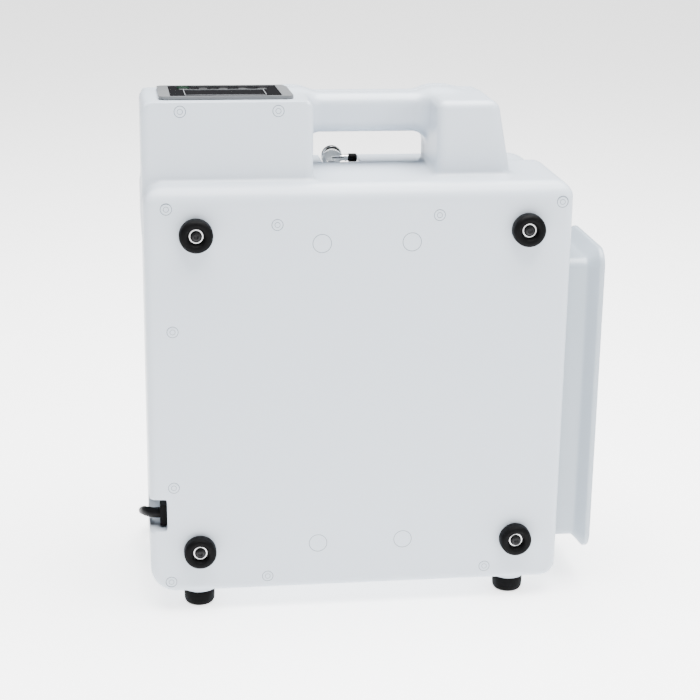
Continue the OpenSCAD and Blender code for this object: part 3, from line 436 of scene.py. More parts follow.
def circle(radius: float, height: float, count: int = 48) -> np.ndarray:
    """A ring of points round local Z.

    Args:
        radius: The ring's radius.
        height: Its place along Z.
        count: Number of points.

    Returns:
        The points, one per row.
    """
    turn = np.linspace(0.0, 2 * math.pi, count, endpoint=False)
    return np.stack([radius * np.cos(turn), radius * np.sin(turn), np.full(count, height)], 1)


def rounded_ring(width: float, depth: float, radius: float, height: float, steps: int = 8) -> np.ndarray:
    """A rounded rectangle of points round local Z.

    Args:
        width: Size along X.
        depth: Size along Y.
        radius: Corner radius.
        height: Its place along Z.
        steps: Points per corner.

    Returns:
        The points, one per row.
    """
    radius = min(radius, width / 2 - 0.01, depth / 2 - 0.01)
    rows = []
    for corner, (sx, sy) in enumerate(((1, 1), (-1, 1), (-1, -1), (1, -1))):
        turn = np.linspace(corner * math.pi / 2, (corner + 1) * math.pi / 2, steps)
        rows.append(np.stack([sx * (width / 2 - radius) + radius * np.cos(turn),
                              sy * (depth / 2 - radius) + radius * np.sin(turn),
                              np.full(steps, height)], 1))
    return np.concatenate(rows)


@dataclass
class Piece:
    """A mesh piece under construction, with its points in millimetres."""

    name: str
    points: list = field(default_factory=list)
    faces: list = field(default_factory=list)

    def loft(self, rings: Sequence[np.ndarray], place: Optional[Matrix] = None, close_start: bool = True,
             close_end: bool = True) -> "Piece":
        """Joins rings of equal length into a skin.

        Args:
            rings: The rings, in order.
            place: Where the rings' own frame stands, in millimetres.
            close_start: Whether the first ring is filled.
            close_end: Whether the last ring is filled.

        Returns:
            This piece.
        """
        place = place or Matrix.Identity(4)
        base, count = len(self.points), len(rings[0])
        for ring in rings:
            self.points += [place @ Vector(p) for p in ring]
        for level in range(len(rings) - 1):
            for k in range(count):
                a, b = base + level * count + k, base + level * count + (k + 1) % count
                self.faces.append((a, b, b + count, a + count))
        if close_start:
            self.faces.append(tuple(base + k for k in reversed(range(count))))
        if close_end:
            self.faces.append(tuple(base + (len(rings) - 1) * count + k for k in range(count)))
        return self

    def lathe(self, profile: Sequence[tuple[float, float]], place: Matrix, count: int = 48,
              closed: bool = False) -> "Piece":
        """Turns a profile round local Z.

        Args:
            profile: Pairs of radius and height.
            place: Where the axis stands, in millimetres.
            count: Points round the axis.
            closed: True if the profile is a loop, which gives a ring.

        Returns:
            This piece.
        """
        rings = [circle(max(r, 0.02), h, count) for r, h in profile]
        if closed:
            rings.append(rings[0])
        return self.loft(rings, place, not closed, not closed)

    def sweep(self, route: np.ndarray, radii: Sequence[float], count: int = 24) -> "Piece":
        """A tube along a route, with a radius for each point.

        Args:
            route: The route's points.
            radii: The tube's radius at each point.
            count: Points round the tube.

        Returns:
            This piece.
        """
        ahead = np.gradient(route, axis=0)
        ahead /= np.linalg.norm(ahead, axis=1, keepdims=True)
        side = np.cross(ahead[0], (0.0, 0.0, 1.0))
        rings = []
        for at, way, radius in zip(route, ahead, radii):
            side = side - way * side.dot(way)
            side /= np.linalg.norm(side)
            up = np.cross(side, way)
            turn = np.linspace(0.0, 2 * math.pi, count, endpoint=False)[:, None]
            rings.append(at + radius * (np.cos(turn) * side - np.sin(turn) * up))
        return self.loft(rings)

    def make(self, finish: Finish, body: Body = Body.CASING, stands_for: Sequence[str] = (),
             flat: float = 35.0) -> bpy.types.Object:
        """Turns the piece into an object that rides on a body.

        Args:
            finish: Its finish.
            body: The CAD body that it rides on.
            stands_for: CAD nodes that it replaces.
            flat: Edges sharper than this many degrees stay sharp.

        Returns:
            The object.
        """
        mesh = bpy.data.meshes.new(self.name)
        mesh.from_pydata([tuple(c * MM for c in p) for p in self.points], [], self.faces)
        mesh.update()
        mesh.shade_smooth()
        mesh.set_sharp_from_angle(angle=math.radians(flat))
        made = bpy.data.objects.new(self.name, mesh)
        bpy.context.scene.collection.objects.link(made)
        return settle(made, finish, body, stands_for)


def settle(made: bpy.types.Object, finish: Finish, body: Body,
           stands_for: Sequence[str] = ()) -> bpy.types.Object:
    """Gives an object its finish and its body.

    Args:
        made: The object.
        finish: Its finish.
        body: The CAD body that it rides on.
        stands_for: CAD nodes that it replaces.

    Returns:
        The object.
    """
    made.data.materials.clear()
    made.data.materials.append(finish.build())
    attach(made, body.value)
    if stands_for:
        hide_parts(*stands_for)
    LOG.info("piece %s on %s", made.name, body.value)
    return made


def at(x: float, y: float, z: float, axis: Axis = Axis.UP) -> Matrix:
    """The matrix of a place, in millimetres.

    Args:
        x: Place along X.
        y: Place along Y.
        z: Place along Z.
        axis: The direction that local Z points in.

    Returns:
        The matrix.
    """
    return Matrix.Translation((x, y, z)) @ axis.value


def smooth_route(points: Sequence[Point], step: float = 1.5) -> np.ndarray:
    """A smooth line through points, at even steps.

    Args:
        points: The points.
        step: Distance between the points that are returned.

    Returns:
        The line's points, one per row.
    """
    p = np.asarray(points, float)
    p = np.concatenate([[2 * p[0] - p[1]], p, [2 * p[-1] - p[-2]]])
    rows = []
    for a, b, c, d in zip(p, p[1:], p[2:], p[3:]):
        t = np.linspace(0.0, 1.0, 24, endpoint=False)[:, None]
        square, cube = 2 * a - 5 * b + 4 * c - d, 3 * b - a - 3 * c + d
        rows.append(0.5 * (2 * b + (c - a) * t + square * t**2 + cube * t**3))
    line = np.concatenate([*rows, p[-2:-1]])
    run = np.concatenate([[0.0], np.cumsum(np.linalg.norm(np.diff(line, axis=0), axis=1))])
    even = np.linspace(0.0, run[-1], max(2, int(run[-1] / step) + 1))
    return np.stack([np.interp(even, run, line[:, k]) for k in range(3)], 1)


# ---- blended solids --------------------------------------------------------


class Solid:
    """A solid given by the distance of points from its surface, negative inside."""

    def __init__(self, distance: Callable[[np.ndarray], np.ndarray]) -> None:
        """Wraps a distance function.

        Args:
            distance: Takes points, one per row, and returns their distances.
        """
        self.distance = distance

    def __call__(self, p: np.ndarray) -> np.ndarray:
        """Distances of points, one per row."""
        return self.distance(p)

    def join(self, other: "Solid", fillet: float = 0.0) -> "Solid":
        """Union with another solid.

        Args:
            other: The other solid.
            fillet: Radius of the hollow fillet where they meet.

        Returns:
            The union.
        """
        def distance(p: np.ndarray) -> np.ndarray:
            """Distances of points from the union, one per row."""
            a, b = self(p), other(p)
            if fillet <= 0:
                return np.minimum(a, b)
            away = np.hypot(np.maximum(fillet - a, 0), np.maximum(fillet - b, 0))
            return np.maximum(fillet, np.minimum(a, b)) - away
        return Solid(distance)

    def meet(self, other: "Solid", edge: float = 0.0) -> "Solid":
        """Intersection with another solid.

        Args:
            other: The other solid.
            edge: Radius of the rounded edge where their surfaces cross.

        Returns:
            The intersection.
        """
        def distance(p: np.ndarray) -> np.ndarray:
            """Distances of points from the intersection, one per row."""
            a, b = self(p), other(p)
            if edge <= 0:
                return np.maximum(a, b)
            over = np.hypot(np.maximum(edge + a, 0), np.maximum(edge + b, 0))
            return np.minimum(-edge, np.maximum(a, b)) + over
        return Solid(distance)

    def less(self, other: "Solid", edge: float = 0.0) -> "Solid":
        """This solid with another cut out of it.

        Args:
            other: The solid that is cut out.
            edge: Radius of the rounded edge of the cut.

        Returns:
            What is left.
        """
        return self.meet(Solid(lambda p: -other(p)), edge)


def crossed(a: np.ndarray, b: np.ndarray) -> np.ndarray:
    """Distance from the corner of two crossing half planes.

    Args:
        a: Distances from the first, negative inside.
        b: Distances from the second.

    Returns:
        The distances, negative where both are.
    """
    return np.hypot(np.maximum(a, 0), np.maximum(b, 0)) + np.minimum(np.maximum(a, b), 0)


def slab(low: Point, high: Point, corners: Sequence[float], edge: float) -> Solid:
    """A block whose outline in XZ has rounded corners and whose Y faces have rounded edges.

    Args:
        low: Lowest corner.
        high: Highest corner.
        corners: Radii at the left bottom, right bottom, right top and left top.
        edge: Radius of the edges round the Y faces.

    Returns:
        The solid.
    """
    lo, hi = np.array(low, float), np.array(high, float)
    mid, half = (lo + hi) / 2, (hi - lo) / 2

    def distance(p: np.ndarray) -> np.ndarray:
        """Distances of points from the slab, one per row."""
        q = p - mid
        right, top = q[:, 0] > 0, q[:, 2] > 0
        r = np.select([~right & ~top, right & ~top, right & top], corners[:3], corners[3])
        r = np.maximum(r, edge)
        qx, qz = np.abs(q[:, 0]) - half[0] + r, np.abs(q[:, 2]) - half[2] + r
        outline = crossed(qx, qz) - r + edge
        along = np.abs(q[:, 1]) - half[1] + edge
        return crossed(outline, along) - edge
    return Solid(distance)


def below(point: Point, normal: Point) -> Solid:
    """Everything behind a plane.

    Args:
        point: A point on the plane.
        normal: The direction that faces out.

    Returns:
        The solid.
    """
    way = np.array(normal, float) / np.linalg.norm(normal)
    return Solid(lambda p: (p - np.array(point, float)) @ way)


def pillar(x: float, y: float, low: float, high: float, radius: float, edge: float) -> Solid:
    """An upright cylinder with rounded ends.

    Args:
        x: Its axis in X.
        y: Its axis in Y.
        low: Its foot.
        high: Its top.
        radius: Its radius.
        edge: Radius of its edges.

    Returns:
        The solid.
    """
    def distance(p: np.ndarray) -> np.ndarray:
        """Distances of points from the pillar, one per row."""
        out = np.hypot(p[:, 0] - x, p[:, 1] - y) - radius + edge
        up = np.abs(p[:, 2] - (low + high) / 2) - (high - low) / 2 + edge
        return crossed(out, up) - edge
    return Solid(distance)


@dataclass
class SurfaceNet:
    """Quads over the surface of a solid, from a grid of samples."""

    solid: Solid
    low: Point
    high: Point
    step: float

    def mesh(self) -> tuple[np.ndarray, np.ndarray]:
        """Points and quads of the surface, with the quads facing out."""
        axes = [np.arange(a, b + self.step, self.step) for a, b in zip(self.low, self.high)]
        shape = tuple(len(a) for a in axes)
        lattice = np.stack(np.meshgrid(*axes, indexing="ij"), -1)
        values = np.concatenate([self.solid(rows.reshape(-1, 3)) for rows in lattice]).reshape(shape)
        inside = values < 0
        points, index = self.corners(values, inside, axes)
        return self.settled(points), self.quads(inside, index)

    def corners(self, values: np.ndarray, inside: np.ndarray,
                axes: Sequence[np.ndarray]) -> tuple[np.ndarray, np.ndarray]:
        """One point in each cell that the surface passes through.

        Args:
            values: Samples on the lattice.
            inside: Where they are negative.
            axes: The lattice's coordinates.

        Returns:
            The points, and each cell's number or -1.
        """
        cells = tuple(n - 1 for n in values.shape)

        def corner(source: np.ndarray, c: Sequence[int]) -> np.ndarray:
            """The lattice's values at one of the eight corners of every cell."""
            return source[tuple(slice(o, o + n) for o, n in zip(c, cells))]
        eight = [(i, j, k) for i in (0, 1) for j in (0, 1) for k in (0, 1)]
        count = sum(corner(inside, c).astype(np.int8) for c in eight)
        active = (count > 0) & (count < 8)
        index = np.full(cells, -1)
        index[active] = np.arange(active.sum())
        total, hits = np.zeros((active.sum(), 3)), np.zeros((active.sum(), 1))
        for c in eight:
            for a in range(3):
                if c[a]:
                    continue
                d = tuple(v + (k == a) for k, v in enumerate(c))
                f0, f1 = corner(values, c)[active], corner(values, d)[active]
                cut = (f0 < 0) != (f1 < 0)
                t = np.where(cut, f0 / np.where(cut, f0 - f1, 1), 0)
                spot = np.tile(np.array(c, float), (len(t), 1))
                spot[:, a] = t
                total += spot * cut[:, None]
                hits += cut[:, None]
        origin = np.array([a[0] for a in axes])
        return origin + self.step * (np.argwhere(active) + total / hits), index

    def quads(self, inside: np.ndarray, index: np.ndarray) -> np.ndarray:
        """Quads across each lattice edge that the surface crosses.

        Args:
            inside: Where the samples are negative.
            index: Each cell's number.

        Returns:
            The quads, one per row.
        """
        rows = []
        for a in range(3):
            b, c = (a + 1) % 3, (a + 2) % 3
            cut = [slice(1, -1)] * 3
            low, high = list(cut), list(cut)
            low[a], high[a] = slice(0, -1), slice(1, None)
            first, second = inside[tuple(low)], inside[tuple(high)]
            spots = np.argwhere(first != second)
            leaving = first[tuple(spots.T)]
            spots[:, b] += 1
            spots[:, c] += 1

            def cell(db: int, dc: int) -> np.ndarray:
                """The numbers of the cells on one side of each crossed edge."""
                s = spots.copy()
                s[:, b] -= db
                s[:, c] -= dc
                return index[tuple(s.T)]
            quad = np.stack([cell(1, 1), cell(0, 1), cell(0, 0), cell(1, 0)], 1)
            rows.append(np.where(leaving[:, None], quad, quad[:, ::-1]))
        return np.concatenate(rows)

    def settled(self, points: np.ndarray) -> np.ndarray:
        """Points moved on to the true surface.

        Args:
            points: The points.

        Returns:
            The moved points.
        """
        small = 0.05
        for _ in range(2):
            value = self.solid(points)
            steps = [small * e for e in np.eye(3)]
            slope = np.stack([self.solid(points + e) - self.solid(points - e) for e in steps], 1)
            slope /= 2 * small
            size = np.maximum((slope**2).sum(1), 0.25)
            points = points - slope * (np.clip(value, -self.step / 3, self.step / 3) / size)[:, None]
        return points


# ---- the object ------------------------------------------------------------


@dataclass
class Casing:
    """The two half shells, blended from body, display tower, stub and handle."""

    left: float = -164.5
    right: float = 135.5
    rear: float = -61.5
    front: float = 70.5
    floor: float = 15.0
    deck: float = 315.0
    parting: float = 20.5
    inset: float = 1.5
    wall: float = 2.6
    step: float = 2.0
    bevel: float = 8.5
    tower_right: float = -46.5
    tower_rear: float = -46.5
    tower_front: float = 39.5
    tower_top: float = 371.0
    tilt: float = 2.0
    grip_low: float = 339.0
    grip_high: float = 367.0
    grip_rear: float = 4.5
    grip_front: float = 36.5
    stub_left: float = 42.0
    stub_right: float = 85.5
    stub_rear: float = -36.5
    stub_front: float = 37.5
    stub_draft: float = 10.0
    foot_x: tuple[float, float] = (-129.0, 103.0)
    foot_y: tuple[float, float] = (-43.5, 52.5)
    boss_radius: float = 12.8
    grip_fillet: float = 11.0
    foot_fillet: float = 1.5
    upper_fillet: float = 3.5
    rear_edge: float = 5.5
    front_edge: float = 14.0
    rear_corners: tuple = (19.0, 11.0, 12.0, 14.0)
    front_corners: tuple = (24.0, 18.0, 22.0, 16.0)
    lip_corners: tuple = (20.6, 14.7, 18.6, 12.7)
    opening_edge: float = 0.8
    pocket_depth: float = 1.5
    reach: float = 4.0
    reach_left: float = 3.3
    reach_below: float = 6.2

    # Low corner, high corner, radius of the outline's corners, radius of the other edges.
    OPENINGS: ClassVar[dict[str, tuple]] = {
        "bay": ((125, -40.2, 37.3), (190, 34.2, 253.7), 8, 8),
        "panel_seat": ((-147.5, -32.5, 345), (-63.5, 25.5, 400), 1, 1),
        "outlet_recess": ((-31, 29, 285), (-3, 90, 330), 2, 1.5),
        "cord_notch": ((-190, -90, 64), (-152, -25.5, 88), 1.5, 1.5),
        "exhaust_grille": ((-115, 60, 46.5), (-23, 90, 138.5), 3, 1),
        "filter": ((-13, 60, 46.5), (51, 90, 138.5), 3, 1),
    }

    def trunk(self, inset: float, edge: float, corners: Sequence[float]) -> Solid:
        """The main block of the casing.

        Args:
            inset: How far its sides stand in from the nominal ones.
            edge: Radius of the edges round its rear and front faces.
            corners: Radii of the outline's corners.

        Returns:
            The solid.
        """
        block = slab((self.left + inset, self.rear, self.floor + inset),
                     (self.right - inset, self.front, self.deck - inset), corners, edge)
        bevel = below((0, self.rear, self.deck - self.bevel), (0, -self.bevel, self.bevel * 0.85))
        return block.meet(bevel, 3.0)

    def tower(self, inset: float) -> Solid:
        """The display tower, with its sloping top.

        Args:
            inset: How far its sides stand in.

        Returns:
            The solid.
        """
        block = slab((self.left + inset, self.tower_rear, self.deck - 40),
                     (self.tower_right - inset, self.tower_front, self.tower_top + 30), (2, 2, 2, 2), 4.5)
        shoulders = slab((self.left + inset, self.tower_rear - 60, self.deck - 60),
                         (self.tower_right - inset, self.tower_front + 60, self.tower_top), (7, 7, 7, 8), 1)
        slope = math.tan(math.radians(self.tilt))
        top = below((0, self.tower_rear, self.tower_top), (0, slope, 1))
        return block.meet(shoulders).meet(top, 2.0)

    def stub(self, inset: float) -> Solid:
        """The drafted stub at the handle's other end.

        Args:
            inset: How far its sides stand in.

        Returns:
            The solid.
        """
        block = slab((self.stub_left, self.stub_rear, self.deck - 25),
                     (self.stub_right + 25, self.stub_front, self.grip_high + 1), (2, 2, 2, 4), 6)
        side = below((self.stub_right - inset, 0, self.grip_high),
                     (self.grip_high - self.deck, 0, self.stub_draft))
        return block.meet(side, 7.0)

    def grip(self) -> Solid:
        """The bar of the carry handle."""
        return slab((self.tower_right - 20, self.grip_rear, self.grip_low),
                    (self.stub_left + 20, self.grip_front, self.grip_high), (1, 1, 1, 1), 8)

    def outside(self, inset: float, edge: float, corners: Sequence[float]) -> Solid:
        """The whole outside without its openings.

        Args:
            inset: How far the sides stand in.
            edge: Radius of the edges round the main block's faces.
            corners: Radii of the main block's corners.

        Returns:
            The solid.
        """
        upper = self.tower(inset).join(self.stub(inset), 0).join(self.grip(), self.grip_fillet)
        whole = self.trunk(inset, edge, corners).join(upper, self.upper_fillet)
        for x in self.foot_x:
            for y in self.foot_y:
                boss = pillar(x, y, self.floor - 3, self.floor + 20, self.boss_radius, 1.2)
                whole = whole.join(boss, self.foot_fillet)
        return whole

    def openings(self) -> dict[str, Solid]:
        """What is cut out, by name."""
        return {name: slab(low, high, (corner,) * 4, edge)
                for name, (low, high, corner, edge) in self.OPENINGS.items()}

    def half(self, name: str, plain: Solid, keep_rear: bool, node: str) -> bpy.types.Object:
        """Makes one half shell.

        Args:
            name: The piece's name.
            plain: The outside without openings.
            keep_rear: True for the rear half.
            node: The CAD node that it stands for.

        Returns:
            The object.
        """
        cut = plain
        openings = self.openings()
        for opening in openings.values():
            cut = cut.less(opening, self.opening_edge)
        step = self.step * 1.0
        low_y = self.parting - step * (math.ceil((self.parting - self.rear) / step) + 2.5)
        low = (self.left - self.reach_left, low_y, self.floor - self.reach_below)
        high = (self.right + self.reach, self.front + self.reach, self.tower_top + self.reach)
        net = SurfaceNet(cut, low, high, step)
        points, quads = net.mesh()
        centres = points[quads].mean(1)
        own = centres[:, 1] < self.parting if keep_rear else centres[:, 1] > self.parting
        pocket = np.minimum(openings["outlet_recess"](centres), openings["cord_notch"](centres))
        own &= (plain(centres) > -self.wall) | (pocket < self.pocket_depth)
        quads = quads[own]
        used, flat = np.unique(quads, return_inverse=True)
        piece = Piece(name, [tuple(p) for p in points[used]], [tuple(q) for q in flat.reshape(-1, 4)])
        made = piece.make(CASING, Body.CASING, [node], flat=62.0)
        skin = made.modifiers.new("wall", "SOLIDIFY")
        skin.thickness = self.wall * MM
        skin.offset = -1.0
        return made

    def outline(self, inset: float, corners: Sequence[float], y: float) -> np.ndarray:
        """The casing's outline at one depth.

        Args:
            inset: How far it stands in from the nominal sides.
            corners: Radii at the left bottom, right bottom, right top and left top.
            y: Where it lies.

        Returns:
            Its points.
        """
        x0, x1, z0, z1 = self.left + inset, self.right - inset, self.floor + inset, self.deck - inset
        spots = ((x0, z0, 1, 1, 180), (x1, z0, -1, 1, 270), (x1, z1, -1, -1, 0), (x0, z1, 1, -1, 90))
        points = []
        for (x, z, in_x, in_z, start), r in zip(spots, corners):
            for turn in np.radians(np.linspace(start, start + 90, 13)):
                points.append((x + in_x * r + r * math.cos(turn), y, z + in_z * r + r * math.sin(turn)))
        return np.array(points)

    def lip(self) -> None:
        """Makes the flange inside the rear half that closes its corners against the rounder front half."""
        near, far = self.parting - 1.8, self.parting - 0.2
        outer, inner = (0.4, self.rear_corners), (3.2, self.lip_corners)
        turns = ((outer, near), (outer, far), (inner, far), (inner, near), (outer, near))
        rings = [self.outline(*edge, y) for edge, y in turns]
        Piece("casing_lip").loft(rings, close_start=False, close_end=False).make(CASING)

    def build(self) -> None:
        """Makes both half shells and the flange between them."""
        rear = self.outside(0.0, self.rear_edge, self.rear_corners)
        front = self.outside(self.inset, self.front_edge, self.front_corners)
        self.half("casing_rear", rear, True, "rear_shell")
        self.half("casing_front", front, False, "front_shell")
        self.lip()


@dataclass
class Marks:
    """Caps over the case screws and the round witness marks of the moulding, on the rear faces; the seams
    round the caps and the witness marks are thin raised rings painted dark as the shadow in their gaps and
    grooves.
    """

    face: float = -61.5
    tower_face: float = -46.5
    cap_radius: float = 3.6
    cap_places: tuple = ((-149.0, 300.0), (-73.0, 288.0), (40.0, 293.0), (127.0, 301.0), (-146.0, 213.0),
                         (-147.0, 97.0), (-150.0, 24.0), (-80.0, 25.5), (81.0, 26.0))
    tower_places: tuple = ((-138.0, 364.0), (-71.0, 364.0))
    witness_places: tuple = ((-42.0, 274.3), (21.0, 274.3), (-43.2, 50.0), (19.2, 50.5))
    witness_radius: float = 6.5

    def ring(self, piece: Piece, x: float, y: float, z: float, radius: float, width: float,
             lift: float) -> None:
        """Adds a low ring to a piece.

        Args:
            piece: The piece.
            x: Centre in X.
            y: The face that it lies on.
            z: Centre in Z.
            radius: The ring's mean radius.
            width: The ring's width.
            lift: How far it stands out.
        """
        profile = [(radius - width / 2, -0.3), (radius - width / 4, lift), (radius + width / 4, lift),
                   (radius + width / 2, -0.3)]
        piece.lathe(profile, at(x, y, z, Axis.REAR), 40, closed=True)

    def build(self) -> None:
        """Makes the caps, and the dark rings of their seams and of the witness marks, which paint the shadow
        in those gaps and grooves.
        """
        caps, seams = Piece("screw_caps_domed"), Piece("cap_seam_shadows")
        r = self.cap_radius
        dome = [(r, -1.5), (r, -0.1), (r - 0.25, 0.08), (r - 1.0, 0.14), (0.4, 0.16)]
        places = [(x, self.face, z) for x, z in self.cap_places]
        places += [(x, self.tower_face, z) for x, z in self.tower_places]
        for x, y, z in places:
            caps.lathe(dome, at(x, y, z, Axis.REAR), 40)
            self.ring(seams, x, y, z, r + 0.3, 0.7, 0.06)
            self.ring(seams, x, y, z, 0.5 * r, 0.6, 0.2)
        witness = Piece("witness_ring_shadows")
        for x, z in self.witness_places:
            self.ring(witness, x, self.face, z, self.witness_radius, 0.7, 0.06)
        caps.make(CASING, stands_for=["screw_caps"])
        # The seam and witness rings take the dark finish: painted shadow of the gaps and grooves.
        seams.make(SEAM_SHADOW)
        witness.make(SEAM_SHADOW)


@dataclass
class Bay:
    """The open tub for the humidifier bottle, with its flared rim."""

    back: float = 81.5
    mouth: float = 164.5
    rear: float = -40.5
    front: float = 34.5
    low: float = 37.0
    high: float = 254.0
    corner: float = 8.0
    wall: float = 2.5
    flare: float = 8.0

    def ring(self, x: float, out: float) -> np.ndarray:
        """An outline of the tub at one depth.

        Args:
            x: The depth, as a place along X.
            out: How far it stands outside the tub's wall.

        Returns:
            The outline in its own frame, whose Z is X.
        """
        return rounded_ring(self.high - self.low + 2 * out, self.front - self.rear + 2 * out,
                            max(self.corner + out * 0.6, 1.0), x, 10)

    def build(self) -> None:
        """Makes the tub."""
        turn = Matrix.Rotation(math.pi / 2, 4, "Y")
        place = Matrix.Translation((0, (self.rear + self.front) / 2, (self.low + self.high) / 2)) @ turn
        m, f, w = self.mouth, self.flare, self.wall
        outer = [(self.back, -1.0), (self.back + 0.4, 0.0), (150.0, 0.0), (152.6, 0.05), (153.6, 0.35),
                 (155.0, 1.5), (157.0, 3.5), (159.4, 6.2), (160.3, 7.3), (160.9, 7.8), (161.9, f),
                 (m - 1.4, f), (m - 0.4, f - 0.35), (m, f - 1.2)]
        inner = [(m, f - 2.2), (m - 0.5, f - 3.0), (m - 2.2, f - 4.4), (158.6, 0.6), (157.0, -0.9),
                 (155.6, -1.9), (153.8, -2.4), (151.0, -w), (self.back + w + 1.6, -w),
                 (self.back + w + 0.4, -w - 0.5), (self.back + w, -w - 1.8)]
        # The tub takes the darker bay finish, which paints the shade that falls on its recessed wall.
        Piece("bay_tub").loft([self.ring(x, out) for x, out in outer + inner], place).make(
            BAY_PAINTED_SHADE, stands_for=["bottle_bay"], flat=40.0)


@dataclass
class Feet:
    """Rubber feet on the rear face and under the base."""

    x: tuple[float, float] = (-129.0, 103.0)
    z: tuple[float, float] = (48.0, 282.0)
    y: tuple[float, float] = (-43.5, 52.5)
    rear: float = -61.5
    rear_radius: float = 11.75
    rear_height: float = 9.0
    base_radius: float = 11.25
    base_height: float = 12.0

    def profile(self, radius: float, height: float, seat: float) -> list[tuple[float, float]]:
        """Outline of a foot from its outer foot to its screw seat.

        Args:
            radius: The foot's outer radius.
            height: Its height.
            seat: Height of the seat that the screw bears on.

        Returns:
            Pairs of radius and height.
        """
        tip = [(radius - 0.35, 0.0), (radius, 0.5), (radius, height * 0.50), (radius - 0.12, height * 0.62)]
        for k in range(1, 8):
            turn = k / 8 * math.pi / 2
            rim_height = height * 0.64 + height * 0.36 * math.sin(turn)
            tip.append((radius - 3.1 + 3.0 * math.cos(turn), rim_height))
        tip += [(radius - 4.0, height), (6.9, height - 0.25), (6.2, height - 0.9), (5.6, height - 2.0),
                (5.3, height - 3.2), (5.15, seat + 0.3), (4.9, seat)]
        return tip

    def build(self) -> None:
        """Makes all eight feet and the heads of the rear ones' screws."""
        rear, base = Piece("feet_rear_rubber"), Piece("feet_base_rubber")
        heads = Piece("foot_screw_heads")
        rear_form = self.profile(self.rear_radius, self.rear_height, 4.05)
        base_form = self.profile(self.base_radius, self.base_height, 6.6)
        head = [(4.05, 0.0), (4.1, 0.5), (3.8, 1.2), (2.9, 1.9), (1.9, 2.2), (1.5, 1.5), (0.6, 0.9)]
        for x in self.x:
            for z in self.z:
                rear.lathe(rear_form, at(x, self.rear, z, Axis.REAR), 56)
                heads.lathe(head, at(x, self.rear - 4.85, z, Axis.REAR), 36)
            for y in self.y:
                base.lathe(base_form, at(x, y, self.base_height, Axis.DOWN), 56)
        rear.make(RUBBER, stands_for=["rear_feet"])
        base.make(RUBBER, stands_for=["base_feet"])
        heads.make(BLACK_STEEL, stands_for=["foot_screws"])


@dataclass
class Outlet:
    """The flanged chrome oxygen outlet with its barbed hose end and cap."""

    x: float = -23.0
    y: float = 45.0
    top: float = 315.0
    floor: float = 285.0
    flange: float = 7.8

    def build(self) -> None:
        """Makes the fitting and the cap."""
        fitting = Piece("outlet_chrome_fitting")
        up = at(self.x, self.y, self.floor)
        tall = self.top - self.floor - 4
        stem = [(4.4, -12.0), (4.5, -11.5), (4.5, 3.0), (4.5, 20.0), (4.2, 24.0), (4.0, tall)]
        fitting.lathe(stem, up)
        nut = [circle(7.4, 0.0, 6), circle(8.0, 0.5, 6), circle(8.0, 2.6, 6), circle(7.4, 3.1, 6)]
        fitting.loft(nut, up)
        f = self.flange
        disc = [(f - 0.8, -2.0), (f - 0.25, -1.75), (f, -1.2), (f, 1.2), (f - 0.25, 1.75), (f - 0.8, 2.0),
                (f - 2.6, 2.05), (f - 2.9, 1.75), (f - 3.3, 1.6), (f - 6.8, 1.55), (0.3, 1.5)]
        fitting.lathe(disc, at(self.x, self.y, self.top, Axis.REAR), 56)
        barb = [(2.2, 0.0), (2.2, 6.3), (2.9, 6.5), (2.3, 8.9), (2.3, 9.4), (2.9, 9.6), (2.3, 12.0),
                (2.2, 12.5)]
        side = at(self.x, self.y, self.top - 1.5, Axis.RIGHT)
        fitting.lathe(barb, side)
        fitting.make(CHROME, stands_for=["outlet_fitting"])
        cap = [(2.6, 12.5), (3.15, 12.7), (3.2, 13.2), (3.2, 17.6), (2.9, 18.6), (2.1, 19.0), (0.5, 19.1)]
        Piece("outlet_end_cap").lathe(cap, side).make(RUBBER, stands_for=["outlet_cap"])


@dataclass
class Markings:
    """Generic marks on the control panel: a bar by each key and a frame round the display."""

    x: float = -105.5
    y: float = -36.5
    z: float = 370.65
    tilt: float = -2.0
    height: float = 2.25
    keys: tuple = (-28.0, -14.0, 0.0, 14.0, 28.0)
    key_y: float = 51.0

    def bar(self, piece: Piece, x: float, y: float, width: float, depth: float) -> None:
        """Adds a thin bar to the panel.

        Args:
            piece: The piece.
            x: Centre across the panel.
            y: Centre from the panel's rear edge.
            width: Size across.
            depth: Size from rear to front.
        """
        rings = [rounded_ring(width, depth, 0.3, h, 3) for h in (-0.15, 0.04)]
        piece.loft(rings, self.place() @ Matrix.Translation((x, y, self.height)))

    def place(self) -> Matrix:
        """The matrix of the panel's frame, in millimetres."""
        slope = Matrix.Rotation(math.radians(self.tilt), 4, "X")
        return Matrix.Translation((self.x, self.y, self.z)) @ slope

    def build(self) -> None:
        """Makes the marks."""
        marks = Piece("panel_marks")
        row = self.key_y - 8.0
        for x in self.keys:
            self.bar(marks, x, row, 6.0, 0.5)
        for y in (8.2, 39.8):
            self.bar(marks, 0.0, y, 56.0, 0.4)
        for x in (-28.0, 28.0):
            self.bar(marks, x, 24.0, 0.4, 31.6)
        marks.make(MARKING)


